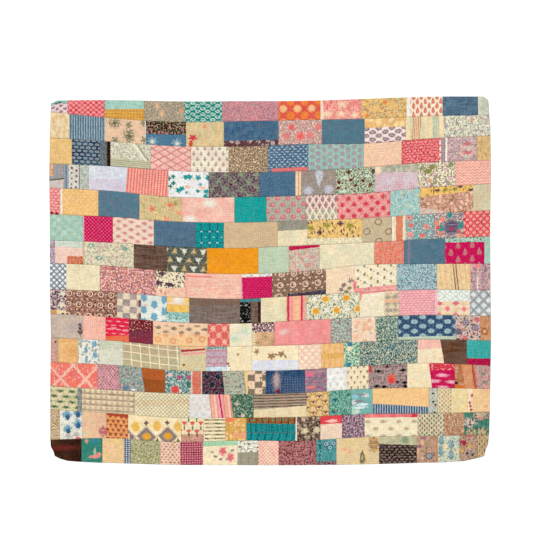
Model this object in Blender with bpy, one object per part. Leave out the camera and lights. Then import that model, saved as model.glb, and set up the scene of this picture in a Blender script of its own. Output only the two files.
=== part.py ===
"""Patchwork bedspread, laid out flat: one quilted cloth with its sewn seams.

The cloth lies in the XY plane with its underside at z = 0. +X runs along the
strips of patches and +Y points to the top edge. The origin is under the middle
of the cloth's box. Fifteen strips of patches are joined edge to edge, each seam
is pressed down into a shallow trough, and the hem is turned in all round.
"""
import bpy
import numpy as np

CM = 0.01

# Thickness of the cloth, in metres.
SEAM_THICKNESS = 0.0032
PATCH_THICKNESS = 0.0050
HEM_THICKNESS = 0.0030
HEM_BULGE = 0.0008

# The surface is a grid: faces along a strip, and rows as shares of a strip's height.
FACES_ALONG = 64
ROW_SHARES = (0.0, 0.2, 0.8)

CLOTH_COLOUR = (0.55, 0.42, 0.33, 1.0)
CLOTH_ROUGHNESS = 0.9

# Each row is an edge or a seam that runs across the cloth: how far it lies below the
# top of the cloth, in cm, at these distances from the left edge.
STATIONS_CM = (0, 39, 78, 118, 157, 196, 235, 274)
SEAMS_CM = (
    ("top edge", (3.0, 2.7, 3.5, 3.4, 3.2, 2.0, 0.6, 0.5)),
    ("seam 1", (10.0, 14.0, 16.4, 16.0, 15.2, 14.4, 12.8, 12.0)),
    ("seam 2", (26.3, 28.6, 31.4, 31.6, 30.2, 29.8, 26.8, 24.8)),
    ("seam 3", (42.3, 44.0, 46.8, 47.8, 46.9, 44.7, 41.5, 40.0)),
    ("seam 4", (57.3, 59.4, 63.2, 63.1, 62.2, 60.7, 57.2, 54.8)),
    ("seam 5", (73.8, 75.4, 78.3, 78.9, 77.8, 76.3, 73.6, 71.3)),
    ("seam 6", (89.8, 91.5, 93.9, 94.9, 93.2, 91.4, 89.3, 87.5)),
    ("seam 7", (104.0, 106.0, 109.6, 110.9, 109.4, 105.3, 104.6, 104.5)),
    ("seam 8", (120.2, 122.0, 125.3, 126.4, 124.3, 122.2, 120.6, 121.2)),
    ("seam 9", (135.6, 137.7, 141.0, 141.7, 139.8, 137.8, 136.4, 137.0)),
    ("seam 10", (150.5, 152.4, 155.7, 155.9, 154.9, 153.1, 151.6, 152.3)),
    ("seam 11", (165.8, 167.5, 170.9, 171.3, 170.4, 168.0, 166.3, 167.8)),
    ("seam 12", (180.5, 183.0, 185.1, 185.8, 184.8, 182.3, 181.8, 182.3)),
    ("seam 13", (195.1, 197.5, 200.2, 200.3, 199.8, 198.0, 197.6, 196.6)),
    ("seam 14", (214.0, 213.0, 215.3, 214.4, 214.6, 212.3, 211.6, 210.8)),
    ("bottom edge", (227.4, 228.4, 229.5, 229.7, 229.7, 229.2, 228.2, 227.4)),
)

# Where the side edges lie, in cm from the left, at these depths below the top.
SIDE_DEPTHS_CM = (0, 4, 20, 50, 85, 120, 150, 185, 212, 220, 224, 230)
LEFT_CM = (1.0, 1.0, 0.3, -0.1, 0.3, 0.3, 0.9, 0.5, 0.5, 0.9, 2.5, 4.0)
RIGHT_CM = (272.0, 273.0, 274.2, 274.5, 274.0, 274.3, 274.6, 274.0, 273.4, 272.8, 271.0, 270.0)

# How far each corner is turned in from the top or bottom edge, in cm, at these
# distances from the left.
TOP_CORNER_AT_CM = (1, 5, 270, 273)
TOP_CORNER_CM = (2.0, 0.0, 0.0, 2.2)
BOTTOM_CORNER_AT_CM = (2.5, 6.4, 11.3, 19, 30, 245, 258, 266, 271)
BOTTOM_CORNER_CM = (3.9, 1.9, 0.6, 0.2, 0.0, 0.0, 0.6, 2.2, 3.6)

# Each row is a strip, from the top: where its patches end, in cm from the left.
PATCH_ENDS_CM = (
    (11.5, 34.5, 59, 84, 107.5, 142.5, 168.5, 194, 222, 244.5, 266.5),
    (12.5, 34.5, 60, 85, 108.5, 142.5, 169.5, 196, 221.5, 245.5),
    (14, 38, 63, 88, 111.5, 136, 161, 195.5, 219, 243.5, 266),
    (9, 19, 24.5, 49, 74, 99, 131, 153, 178, 202.5, 229, 252.5),
    (7, 30.5, 56, 82.5, 115, 135, 159.5, 179, 212, 230.5, 263.5),
    (21, 40, 65, 91, 108.5, 142, 160.5, 194.5, 213, 221.5, 239, 257.5),
    (21, 52.5, 73, 98, 130, 149, 168, 202, 220.5, 246, 270.5),
    (10.5, 31.5, 66.5, 84.5, 119.5, 138.5, 172, 190, 216, 241, 262),
    (10.5, 42, 57, 73, 87, 118.5, 131.5, 147.5, 160, 193, 208.5, 217.5, 239.5, 261.5),
    (21, 35, 49.5, 64.5, 98.5, 112, 126, 140, 175, 188, 203, 217, 252.5, 268),
    (5.5, 18, 31, 46, 81, 97.5, 110.5, 126, 155, 169, 183, 193, 229, 243, 259.5),
    (30, 44, 58, 72, 88, 95, 108, 120.5, 134.5, 159, 172.5, 185, 198.5, 222.5, 237, 252, 264),
    (17.5, 53, 87, 101, 114.5, 127, 160, 174, 188, 201, 236, 250, 263.5),
    (6.5, 20.5, 35.5, 49, 82, 96, 109.5, 122.5, 154, 168.5, 182, 196, 229, 245.5, 258),
    (20, 33, 46.5, 69, 81.5, 95.5, 117, 130, 142.5, 166, 178.5, 205, 228.5, 241.5, 255, 266),
)


def clear_scene():
    """Remove whatever the scene holds, so that only the bedspread is in it."""
    for old in list(bpy.data.objects):
        bpy.data.objects.remove(old, do_unlink=True)


def smooth_curve(at, stations, values):
    """Curve through the values: a cubic Hermite blend of neighbours, with centred slopes."""
    stations = np.asarray(stations, dtype=float)
    values = np.asarray(values, dtype=float)
    slopes = np.gradient(values, stations)
    span = np.clip(np.searchsorted(stations, at) - 1, 0, len(stations) - 2)
    width = stations[span + 1] - stations[span]
    share = (at - stations[span]) / width
    start_weight = 2 * share**3 - 3 * share**2 + 1
    start_slope_weight = share**3 - 2 * share**2 + share
    end_slope_weight = share**3 - share**2
    return (
        start_weight * values[span]
        + (1 - start_weight) * values[span + 1]
        + width * (start_slope_weight * slopes[span] + end_slope_weight * slopes[span + 1])
    )


def seam_depth(number, x_cm):
    """Depth of a seam or edge below the top of the cloth, with the corners turned in."""
    depth = smooth_curve(x_cm, STATIONS_CM, SEAMS_CM[number][1])
    if number == 0:
        depth = depth + np.interp(x_cm, TOP_CORNER_AT_CM, TOP_CORNER_CM)
    if number == len(SEAMS_CM) - 1:
        depth = depth - np.interp(x_cm, BOTTOM_CORNER_AT_CM, BOTTOM_CORNER_CM)
    return depth


def even_columns(depth_cm):
    """Columns spaced evenly from the left edge to the right edge at one depth."""
    left = np.interp(depth_cm, SIDE_DEPTHS_CM, LEFT_CM)
    right = np.interp(depth_cm, SIDE_DEPTHS_CM, RIGHT_CM)
    return np.linspace(left, right, FACES_ALONG + 1)


def columns_on_patch_seams(columns, patch_ends):
    """Move the nearest inner column onto each patch seam, and mark those columns."""
    moved = columns.copy()
    on_seam = np.zeros(len(columns), dtype=bool)
    for end in patch_ends:
        nearest = 1 + int(np.argmin(np.abs(columns[1:-1] - end)))
        moved[nearest] = end
        on_seam[nearest] = True
    return moved, on_seam


def cloth_rows():
    """Rows of points of the upper face, from the top edge down, in metres."""
    rows = []
    for strip, patch_ends in enumerate(PATCH_ENDS_CM):
        upper = SEAMS_CM[strip][1][0]
        lower = SEAMS_CM[strip + 1][1][0]
        for share in ROW_SHARES:
            columns = even_columns(upper + share * (lower - upper))
            thickness = np.full(len(columns), SEAM_THICKNESS)
            if share > 0:
                columns, on_seam = columns_on_patch_seams(columns, patch_ends)
                thickness = np.where(on_seam, SEAM_THICKNESS, PATCH_THICKNESS)
            depth = (1 - share) * seam_depth(strip, columns) + share * seam_depth(strip + 1, columns)
            rows.append(np.column_stack((columns * CM, -depth * CM, thickness)))
    bottom = len(SEAMS_CM) - 1
    columns = even_columns(SEAMS_CM[bottom][1][0])
    depth = seam_depth(bottom, columns)
    rows.append(np.column_stack((columns * CM, -depth * CM, np.full(len(columns), SEAM_THICKNESS))))
    return np.array(rows)


def rim_indices(row_count, column_count):
    """Indices of the grid's border points, once round, counter-clockwise from above."""
    grid = np.arange(row_count * column_count).reshape(row_count, column_count)
    left = grid[:, 0]
    bottom = grid[-1, 1:]
    right = grid[-2::-1, -1]
    top = grid[0, -2:0:-1]
    return np.concatenate((left, bottom, right, top))


def outward_directions(ring):
    """Unit vectors that point out of a closed ring, square to its neighbours' chord."""
    along = np.roll(ring, -1, axis=0) - np.roll(ring, 1, axis=0)
    out = np.column_stack((along[:, 1], -along[:, 0]))
    return out / np.linalg.norm(out, axis=1, keepdims=True)


def cloth_mesh():
    """Closed sheet: the upper grid, a rounded rim in two bands, and one flat underside."""
    rows = cloth_rows()
    row_count, column_count, _ = rows.shape
    top = rows.reshape(-1, 3)
    rim = rim_indices(row_count, column_count)
    ring = top[rim, :2].copy()
    inset = ring - outward_directions(ring) * HEM_BULGE

    top[rim, :2] = inset
    top[rim, 2] = HEM_THICKNESS
    middle = np.column_stack((ring, np.full(len(ring), HEM_THICKNESS / 2)))
    under = np.column_stack((inset, np.zeros(len(ring))))
    points = np.vstack((top, middle, under))
    low = points[:, :2].min(axis=0)
    high = points[:, :2].max(axis=0)
    points[:, :2] -= (low + high) / 2

    grid = np.arange(len(top)).reshape(row_count, column_count)
    faces = np.column_stack((
        grid[:-1, :-1].ravel(),
        grid[1:, :-1].ravel(),
        grid[1:, 1:].ravel(),
        grid[:-1, 1:].ravel(),
    )).tolist()
    middle_ring = len(top) + np.arange(len(ring))
    under_ring = middle_ring + len(ring)
    for upper, lower in ((rim, middle_ring), (middle_ring, under_ring)):
        band = (upper, lower, np.roll(lower, -1), np.roll(upper, -1))
        faces += np.column_stack(band).tolist()
    faces.append(under_ring[::-1].tolist())

    mesh = bpy.data.meshes.new("bedspread")
    mesh.from_pydata(points.tolist(), [], faces)
    mesh.validate()
    return mesh


def cloth_material():
    """Washed cotton: the patches' colours seen together, and no shine."""
    material = bpy.data.materials.new("washed cotton")
    material.use_nodes = True
    shader = material.node_tree.nodes["Principled BSDF"]
    shader.inputs["Base Color"].default_value = CLOTH_COLOUR
    shader.inputs["Roughness"].default_value = CLOTH_ROUGHNESS
    shader.inputs["Metallic"].default_value = 0.0
    return material


def main():
    clear_scene()
    mesh = cloth_mesh()
    mesh.materials.append(cloth_material())
    bedspread = bpy.data.objects.new("bedspread", mesh)
    bpy.context.scene.collection.objects.link(bedspread)


main()
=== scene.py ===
# %% [markdown]
# # A patchwork kantha bedspread, laid out flat
# The real cloth is a queen-size quilt: fifteen strips of recycled printed cotton, sewn edge to edge
# and held by rows of hand running stitch. It is seen from straight above.
# This lesson sews it again in Blender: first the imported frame, then the dyes, the prints, the strips
# and the stitches, and last the studio. All lengths in the tables are centimetres on the cloth.

# %% Load the frame
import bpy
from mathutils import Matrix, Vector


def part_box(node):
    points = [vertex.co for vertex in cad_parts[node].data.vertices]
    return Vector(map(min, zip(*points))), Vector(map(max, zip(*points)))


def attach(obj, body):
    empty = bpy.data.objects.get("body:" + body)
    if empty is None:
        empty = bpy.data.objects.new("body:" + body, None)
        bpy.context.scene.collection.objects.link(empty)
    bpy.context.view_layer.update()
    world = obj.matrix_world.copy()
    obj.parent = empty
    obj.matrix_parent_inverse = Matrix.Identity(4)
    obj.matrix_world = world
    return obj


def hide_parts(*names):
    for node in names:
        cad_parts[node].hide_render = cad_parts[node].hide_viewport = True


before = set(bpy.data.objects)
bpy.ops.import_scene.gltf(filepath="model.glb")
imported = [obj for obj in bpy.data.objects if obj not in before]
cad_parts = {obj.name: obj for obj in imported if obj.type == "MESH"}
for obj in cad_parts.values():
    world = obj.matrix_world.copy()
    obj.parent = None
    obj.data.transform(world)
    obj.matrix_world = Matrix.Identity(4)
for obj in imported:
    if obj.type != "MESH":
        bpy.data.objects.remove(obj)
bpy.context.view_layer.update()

# %% Tools
from types import SimpleNamespace

import bpy
import numpy as np

CM = 0.01
MM = 0.001
FULL_TURN = 2 * np.pi

# %% [markdown]
# ## The camera
# The picture looks straight down on the cloth. A long lens far above keeps the strips square to the
# frame, so the camera is set first, from the size that the picture covers at the height of the cloth.

# %% Camera straight above the cloth
PIXEL_CM = 0.622
PICTURE_PIXELS = 550
PICTURE_CM = PICTURE_PIXELS * PIXEL_CM
LENS_MM = 85
SENSOR_MM = 36
LOOK_AT_CM = (140.3, 111.5)


def aim_down(middle, width):
    """Perspective camera over `middle`: distance = width * lens / sensor."""
    data = bpy.data.cameras.new("camera above")
    data.lens = LENS_MM
    data.sensor_width = SENSOR_MM
    camera = bpy.data.objects.new("camera above", data)
    camera.location = (middle[0], middle[1], width * LENS_MM / SENSOR_MM)
    bpy.context.scene.collection.objects.link(camera)
    bpy.context.scene.camera = camera
    return camera


# %% [markdown]
# ## The sewing plan
# Hand-sewn strips are never straight. On the real cloth the seams droop towards the middle and climb
# at the right, the sides bow a little, and the corners are rounded. The plan is a short table: each seam is
# a row of depths under the top of the cloth, read at eight stations. A smooth curve runs through them,
# the same curve that shaped the solid, so that this surface fits it.

# %% Seams, sides and corners
STATIONS_CM = (0, 39, 78, 118, 157, 196, 235, 274)
SEAMS_CM = (
    ("top edge", (3.0, 2.7, 3.5, 3.4, 3.2, 2.0, 0.6, 0.5)),
    ("seam 1", (10.0, 14.0, 16.4, 16.0, 15.2, 14.4, 12.8, 12.0)),
    ("seam 2", (26.3, 28.6, 31.4, 31.6, 30.2, 29.8, 26.8, 24.8)),
    ("seam 3", (42.3, 44.0, 46.8, 47.8, 46.9, 44.7, 41.5, 40.0)),
    ("seam 4", (57.3, 59.4, 63.2, 63.1, 62.2, 60.7, 57.2, 54.8)),
    ("seam 5", (73.8, 75.4, 78.3, 78.9, 77.8, 76.3, 73.6, 71.3)),
    ("seam 6", (89.8, 91.5, 93.9, 94.9, 93.2, 91.4, 89.3, 87.5)),
    ("seam 7", (104.0, 106.0, 109.6, 110.9, 109.4, 105.3, 104.6, 104.5)),
    ("seam 8", (120.2, 122.0, 125.3, 126.4, 124.3, 122.2, 120.6, 121.2)),
    ("seam 9", (135.6, 137.7, 141.0, 141.7, 139.8, 137.8, 136.4, 137.0)),
    ("seam 10", (150.5, 152.4, 155.7, 155.9, 154.9, 153.1, 151.6, 152.3)),
    ("seam 11", (165.8, 167.5, 170.9, 171.3, 170.4, 168.0, 166.3, 167.8)),
    ("seam 12", (180.5, 183.0, 185.1, 185.8, 184.8, 182.3, 181.8, 182.3)),
    ("seam 13", (195.1, 197.5, 200.2, 200.3, 199.8, 198.0, 197.6, 196.6)),
    ("seam 14", (214.0, 213.0, 215.3, 214.4, 214.6, 212.3, 211.6, 210.8)),
    ("bottom edge", (227.4, 228.4, 229.5, 229.7, 229.7, 229.2, 228.2, 227.4)),
)
STRIP_COUNT = len(SEAMS_CM) - 1
STRIP_TALL_CM = 15
SIDE_DEPTHS_CM = (0, 4, 20, 50, 85, 120, 150, 185, 212, 220, 224, 230)
LEFT_CM = (1.0, 1.0, 0.3, -0.1, 0.3, 0.3, 0.9, 0.5, 0.5, 0.9, 2.5, 4.0)
RIGHT_CM = (272.0, 273.0, 274.2, 274.5, 274.0, 274.3, 274.6, 274.0, 273.4, 272.8, 271.0, 270.0)
TOP_CORNER_AT_CM = (1, 5, 270, 273)
TOP_CORNER_CM = (2.0, 0.0, 0.0, 2.2)
BOTTOM_CORNER_AT_CM = (2.5, 6.4, 11.3, 19, 30, 245, 258, 266, 271)
BOTTOM_CORNER_CM = (3.9, 1.9, 0.6, 0.2, 0.0, 0.0, 0.6, 2.2, 3.6)
print(STRIP_COUNT, "strips between", len(SEAMS_CM), "seams and edges")


# %% The smooth curve of a seam
def smooth_curve(at, stations, values):
    """Cubic Hermite blend of neighbouring values, with centred slopes."""
    stations = np.asarray(stations, dtype=float)
    values = np.asarray(values, dtype=float)
    slopes = np.gradient(values, stations)
    span = np.clip(np.searchsorted(stations, at) - 1, 0, len(stations) - 2)
    width = stations[span + 1] - stations[span]
    share = (at - stations[span]) / width
    start = 2 * share**3 - 3 * share**2 + 1
    start_slope = share**3 - 2 * share**2 + share
    end_slope = share**3 - share**2
    bend = width * (start_slope * slopes[span] + end_slope * slopes[span + 1])
    return start * values[span] + (1 - start) * values[span + 1] + bend


def seam_depth(number, x_cm):
    """Depth of a seam or edge under the top of the cloth, with the corners turned in."""
    depth = smooth_curve(x_cm, STATIONS_CM, SEAMS_CM[number][1])
    if number == 0:
        depth = depth + np.interp(x_cm, TOP_CORNER_AT_CM, TOP_CORNER_CM)
    if number == STRIP_COUNT:
        depth = depth - np.interp(x_cm, BOTTOM_CORNER_AT_CM, BOTTOM_CORNER_CM)
    return depth


# %% Where the cloth lies in the frame
low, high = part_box("bedspread")
top_edge = seam_depth(0, np.linspace(0, 274, 500))
CORNER_X = low[0] - min(LEFT_CM) * CM
CORNER_Y = high[1] + top_edge.min() * CM


def in_frame(x_cm, depth_cm):
    """From centimetres on the cloth to metres in the frame."""
    return CORNER_X + np.asarray(x_cm) * CM, CORNER_Y - np.asarray(depth_cm) * CM


camera = aim_down(in_frame(*LOOK_AT_CM), PICTURE_CM * CM)
print("camera at", tuple(round(value, 3) for value in camera.location))

# %% [markdown]
# ## The dyes
# Recycled saris and block prints bring every colour of the bazaar, all softened by washing. Each dye
# is named once, as a printer would name a pot, and the prints below dip into these pots. Screens show
# colour on a curve, so each value is turned into the linear light that shaders work in.

# %% Pots of dye
BATH_STRENGTH = np.array((1.064, 1.075, 1.079))
THREAD_HAZE = np.array((0.036, 0.035, 0.034))
DARKEST_DYE = 0.003


def dye(red, green, blue):
    """From the 0 to 255 of a colour chart to linear light: ((c + 0.055) / 1.055) ** 2.4, or c / 12.92.
    The chart colour is that of cloth with pale thread on it, so the cloth alone is a little deeper."""
    chart = np.array((red, green, blue)) / 255
    linear = np.where(chart > 0.04045, ((chart + 0.055) / 1.055) ** 2.4, chart / 12.92)
    deeper = np.maximum(linear * BATH_STRENGTH - THREAD_HAZE, DARKEST_DYE)
    return (*deeper.tolist(), 1.0)


class Pots(SimpleNamespace):
    """Named dyes. A joined name pours pots together in equal parts: d.mint_sea, d.mint_mint_sea."""

    def __getattr__(self, name):
        parts = [vars(self)[part] for part in name.split("_")]
        return tuple(sum(values) / len(parts) for values in zip(*parts))


d = Pots(
    white=dye(250, 250, 246), milk=dye(244, 238, 220), cream=dye(249, 232, 194), ecru=dye(238, 218, 182),
    ivory=dye(240, 228, 198), straw=dye(234, 210, 162), sand=dye(216, 190, 148), biscuit=dye(226, 196, 160),
    khaki=dye(206, 190, 150), tan=dye(196, 160, 120), peach=dye(247, 203, 172), apricot=dye(244, 184, 148),
    shell=dye(242, 206, 194), blush=dye(244, 190, 182), rose=dye(226, 150, 146), pink=dye(244, 162, 160),
    candy=dye(240, 174, 186), salmon=dye(244, 152, 138), coral=dye(238, 118, 110), red=dye(228, 84, 88),
    crimson=dye(196, 58, 84), magenta=dye(202, 34, 96), cerise=dye(238, 84, 140), maroon=dye(128, 54, 62),
    plum=dye(120, 92, 110), mauve=dye(176, 146, 156), lilac=dye(206, 192, 204), lavender=dye(220, 222, 232),
    orange=dye(240, 136, 76), marigold=dye(242, 158, 44), gold=dye(226, 172, 84), mustard=dye(212, 170, 90),
    yellow=dye(246, 204, 116), honey=dye(240, 194, 128), rust=dye(192, 104, 58), brick=dye(204, 114, 92),
    brown=dye(124, 90, 70), umber=dye(98, 66, 52), bark=dye(68, 46, 38), black=dye(46, 38, 40),
    taupe=dye(160, 144, 132), stone=dye(198, 182, 168), grey=dye(150, 150, 150), ash=dye(188, 190, 186),
    slate=dye(112, 126, 140), denim=dye(92, 122, 140), navy=dye(60, 78, 108), ink=dye(50, 58, 70),
    blue=dye(84, 134, 168), sky=dye(150, 198, 214), ice=dye(226, 234, 232), aqua=dye(152, 198, 188),
    mint=dye(172, 212, 188), celery=dye(208, 216, 184), sage=dye(174, 178, 148), moss=dye(128, 138, 96),
    olive=dye(162, 152, 78), leaf=dye(112, 148, 118), bottle=dye(84, 104, 88), teal=dye(38, 138, 138),
    turquoise=dye(12, 170, 163), sea=dye(98, 156, 148), green=dye(42, 132, 104), pine=dye(44, 96, 78),
    grape=dye(156, 104, 122), scarlet=dye(248, 66, 82), fuchsia=dye(206, 20, 100), lime=dye(152, 206, 130),
    royal=dye(50, 80, 124),
)
print(len(vars(d)), "pots of dye")

# %% [markdown]
# ## Patterns as formulas
# A print is a rule that says which dye falls where. Blender's Math nodes can hold such a rule, but a
# tree of them is hard to read when wired by hand. Here every number that varies over the cloth is a
# small object, and + - * / on it add the nodes. A ring can then be written as a formula, and no image
# is needed.


# %% Numbers that vary over the cloth
class Value:
    """The output of a node in the bench's tree. Arithmetic on it adds Math nodes there."""

    def __init__(self, socket):
        self.socket = socket

    def __add__(self, other):
        return maths("ADD", self, other)

    def __radd__(self, other):
        return maths("ADD", other, self)

    def __sub__(self, other):
        return maths("SUBTRACT", self, other)

    def __rsub__(self, other):
        return maths("SUBTRACT", other, self)

    def __mul__(self, other):
        return maths("MULTIPLY", self, other)

    def __rmul__(self, other):
        return maths("MULTIPLY", other, self)

    def __truediv__(self, other):
        return maths("DIVIDE", self, other)


bench = SimpleNamespace(tree=None)


def add_node(kind, inputs, **settings):
    """A node on the bench, with each named or numbered input linked or set."""
    node = bench.tree.nodes.new(kind)
    for name, setting in settings.items():
        setattr(node, name, setting)
    for place, value in inputs.items():
        if isinstance(value, Value):
            bench.tree.links.new(value.socket, node.inputs[place])
        else:
            node.inputs[place].default_value = value
    return node


def maths(operation, *values):
    """One Math node."""
    node = add_node("ShaderNodeMath", dict(enumerate(values)), operation=operation)
    return Value(node.outputs[0])


def either(first, *others):
    """Union of shapes whose value is under 1 inside: the least of them."""
    for other in others:
        first = maths("MINIMUM", first, other)
    return first


def both(first, second):
    """Overlap of two such shapes: the greater of their values."""
    return maths("MAXIMUM", first, second)


def size_of(value):
    """Absolute value."""
    return maths("ABSOLUTE", value)


def vector(x, y):
    """Two numbers as one vector."""
    return Value(add_node("ShaderNodeCombineXYZ", {0: x, 1: y}).outputs[0])


def distance(x, y):
    """sqrt(x * x + y * y)."""
    return Value(add_node("ShaderNodeVectorMath", {0: vector(x, y)}, operation="LENGTH").outputs["Value"])


def below(field, edge, soft):
    """1 where the field is under the edge, 0 where it is over, with a ramp `soft` wide each way."""
    inputs = {0: field, 1: edge - soft, 2: edge + soft, 3: 1.0, 4: 0.0}
    return Value(add_node("ShaderNodeMapRange", inputs).outputs[0])


def mix(mask, under, over, way="MIX"):
    """Colour `over` laid on `under` where the mask is 1."""
    inputs = {0: mask, 6: under, 7: over}
    node = add_node("ShaderNodeMix", inputs, data_type="RGBA", blend_type=way)
    return Value(node.outputs[2])


# %% [markdown]
# ## Clouds and cells
# Washing, uneven dye and hand printing are irregular, and noise gives that. The same seed always gives
# the same cloth. Cells (Voronoi) scatter small flowers and leaves the way a ditsy print does.

# %% Noise and cells on the cloth
def stretched(at, size, seed):
    """The place on the cloth divided by a size in cm (one for each way), moved to its own seed."""
    wide, tall = size if isinstance(size, tuple) else (size, size)
    scaled = {0: at.place, 1: (1 / wide, 1 / tall, 1), 2: (7.3 * seed, 3.1 * seed, 0)}
    return Value(add_node("ShaderNodeVectorMath", scaled, operation="MULTIPLY_ADD").outputs[0])


def cloud(at, size, seed=0, detail=2.0):
    """Soft noise around 0.5 with lumps of about `size` cm."""
    inputs = {"Vector": stretched(at, size, seed), "Scale": 1.0, "Detail": detail}
    return Value(add_node("ShaderNodeTexNoise", inputs, noise_dimensions="2D").outputs[0])


def cells(at, size, seed=0):
    """For scattered cells: x and y from each cell's middle as shares of `size`, and a chance 0 to 1."""
    where = stretched(at, size, seed)
    node = add_node("ShaderNodeTexVoronoi", {"Vector": where, "Scale": 1.0}, voronoi_dimensions="2D")
    middle = Value(node.outputs["Position"])
    local = add_node("ShaderNodeVectorMath", {0: where, 1: middle}, operation="SUBTRACT")
    apart = add_node("ShaderNodeSeparateXYZ", {0: Value(local.outputs[0])})
    chance = add_node("ShaderNodeSeparateColor", {0: Value(node.outputs["Color"])})
    return Value(apart.outputs[0]), Value(apart.outputs[1]), Value(chance.outputs[0])


# %% [markdown]
# ## Motifs
# A printer's block carries one small motif. Each function gives a value that is under 1 inside the
# motif, for x to the right and y downwards, both 1 at the motif's own edge.


# %% Blocks of one motif
def disc(x, y):
    return distance(x, y)


def ring(x, y):
    return size_of(distance(x, y) - 0.74) * 3.8


def hoop(x, y):
    """A thin ring."""
    return size_of(distance(x, y) - 0.84) * 6.2


def diamond(x, y):
    return size_of(x) + size_of(y)


def box(x, y):
    return both(size_of(x), size_of(y))


def frame_box(x, y):
    return size_of(box(x, y) - 0.76) * 4.2


def leaf(x, y):
    return size_of(x) + y * y


def triangle(x, y):
    return both(size_of(x) * 1.1 - y * 0.55 + 0.45, y)


def drop(x, y):
    """A disc that narrows to the top: its width is 0.62 + 0.38 y."""
    return distance(x / (y * 0.38 + 0.62), y)


def hanging_drop(x, y):
    return drop(x, y * -1)


def petals(count, depth=0.24):
    """A flower of round petals: its rim is at 1 - 2 * depth + 2 * depth * |cos(count / 2 * angle)|."""

    def flower(x, y):
        waves = size_of(maths("COSINE", maths("ARCTAN2", x, y) * (count / 2)))
        return distance(x, y) / (waves * (2 * depth) + (1 - 2 * depth))

    return flower


def tulip(x, y):
    """A cup with three points, a thin stem and two leaves."""
    wide = size_of(x)
    cup = both(distance(x * 1.5, y * 1.25 + 0.45), size_of(wide - 0.28) * 1.6 - y * 0.9 - 0.05)
    stem = both(wide * 9, size_of(y - 0.5) * 2)
    leaves = distance(wide * 2.4 - 0.9, (y - 0.62 + wide * 0.6) * 3.6)
    return either(cup, stem, leaves)


def sprig(x, y):
    """A bud on a stem with two pairs of leaves."""
    wide = size_of(x)
    bud = distance(x, y + 0.66) * 2.9
    stem = both(wide * 10, size_of(y))
    lower = distance(wide * 2.2 - 1, (y - 0.55 + wide * 0.5) * 4.2)
    upper = distance(wide * 2.8 - 0.9, (y + 0.02 + wide * 0.5) * 5)
    return either(bud, stem, lower, upper)


def lens_pair(x, y):
    """Two small leaves crossed, a quick buti."""
    return either(leaf(x * 3 - y, y + x * 0.5), leaf(x * 3 + y, y - x * 0.5))


# %% [markdown]
# ## Ways of printing
# Each function here is one way to put colour on cloth: a repeat of a block, stripes in the loom, a
# lattice, a scatter. It returns a rule that takes the place and the colour so far and gives the new
# colour, so that prints can be laid over each other like blocks on a table. Sizes are in centimetres.

# %% Repeats of one block
EDGE = 0.16
RAG = 0.16


def spots(color, pitch, size, motif=disc, stagger=0.5, start=None, soft=EDGE, rag=RAG):
    """Rows of one motif. Every second row moves along by `stagger` of the pitch. `start` is one middle.
    `rag` roughens the edge, as a worn block does."""
    if stagger and size[1] > pitch[1]:
        even = SimpleNamespace(pitch=(pitch[0], 2 * pitch[1]), shift=((0, 0), (pitch[0] / 2, pitch[1])))
    else:
        even = None

    def field(at, gap, slide, moved):
        middle = at.place_of(start)
        row = (at.y - (middle[1] + moved[1])) / gap[1] + 0.5
        along = (at.x - (middle[0] + moved[0])) / gap[0] + 0.5
        if slide:
            along = along + maths("FLOOR", row) * slide
        x = (maths("FRACT", along) - 0.5) * (2 * gap[0] / size[0])
        y = (maths("FRACT", row) - 0.5) * (2 * gap[1] / size[1])
        return motif(x, y)

    def printed(at, under):
        if even:
            shape = either(*(field(at, even.pitch, 0, moved) for moved in even.shift))
        else:
            shape = field(at, pitch, stagger, (0, 0))
        return mix(below(shape + at.rough * (4 * rag), 1, soft), under, color)

    return printed


def dabs(color, size, motif, *places, soft=EDGE, rag=RAG):
    """The motif once at each place, given as (x, y) on the whole cloth."""

    def printed(at, under):
        shapes = []
        for place in places:
            x, y = at.place_of(place)
            across = maths("MULTIPLY_ADD", at.x, 2 / size[0], -2 * x / size[0])
            down = maths("MULTIPLY_ADD", at.y, 2 / size[1], -2 * y / size[1])
            shapes.append(motif(across, down))
        return mix(below(either(*shapes) + at.rough * (4 * rag), 1, soft), under, color)

    return printed


# %% Stripes, checks and lattices
def stripes(color, pitch, width, lean=0, level=False, start=0, amount=1):
    """Lines of one width: upright ones, or `level` ones along the strip. `lean` slants them."""

    def printed(at, under):
        line, cross_line = (at.y, at.x) if level else (at.x - at.left, at.y)
        if lean:
            line = line + cross_line * lean
        place = maths("FRACT", (line - start) / pitch)
        shape = size_of(place - 0.5) * (2 * pitch / width)
        return mix(below(shape, 1, EDGE) * amount, under, color)

    return printed


def checks(color, pitch, share=0.5, amount=0.6):
    """Gingham: the same stripe both ways, half as strong, so that crossings are deepest."""
    upright = stripes(color, pitch, pitch * share, amount=amount)
    along = stripes(color, pitch, pitch * share, level=True, amount=amount)
    return lambda at, under: along(at, upright(at, under))


def lattice(color, pitch, width, start=None):
    """Diagonal lines both ways, which leave diamonds `pitch` wide and tall."""

    def printed(at, under):
        middle = at.place_of(start)
        x = (at.x - middle[0]) / pitch[0]
        y = (at.y - middle[1]) / pitch[1]
        rising = size_of(maths("FRACT", x + y) - 0.5)
        falling = size_of(maths("FRACT", x - y) - 0.5)
        shape = either(rising, falling) * (2 * min(pitch) / width)
        return mix(below(shape, 1, EDGE), under, color)

    return printed


def zigzag(color, pitch, rise, gap, width):
    """Lines that go up and down by `rise` every `pitch`, one line every `gap`."""

    def printed(at, under):
        teeth = maths("PINGPONG", at.x, pitch / 2) * (2 * rise / pitch)
        shape = size_of(maths("FRACT", (at.y + teeth) / gap) - 0.5) * (2 * gap / width)
        return mix(below(shape, 1, EDGE), under, color)

    return printed


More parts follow.
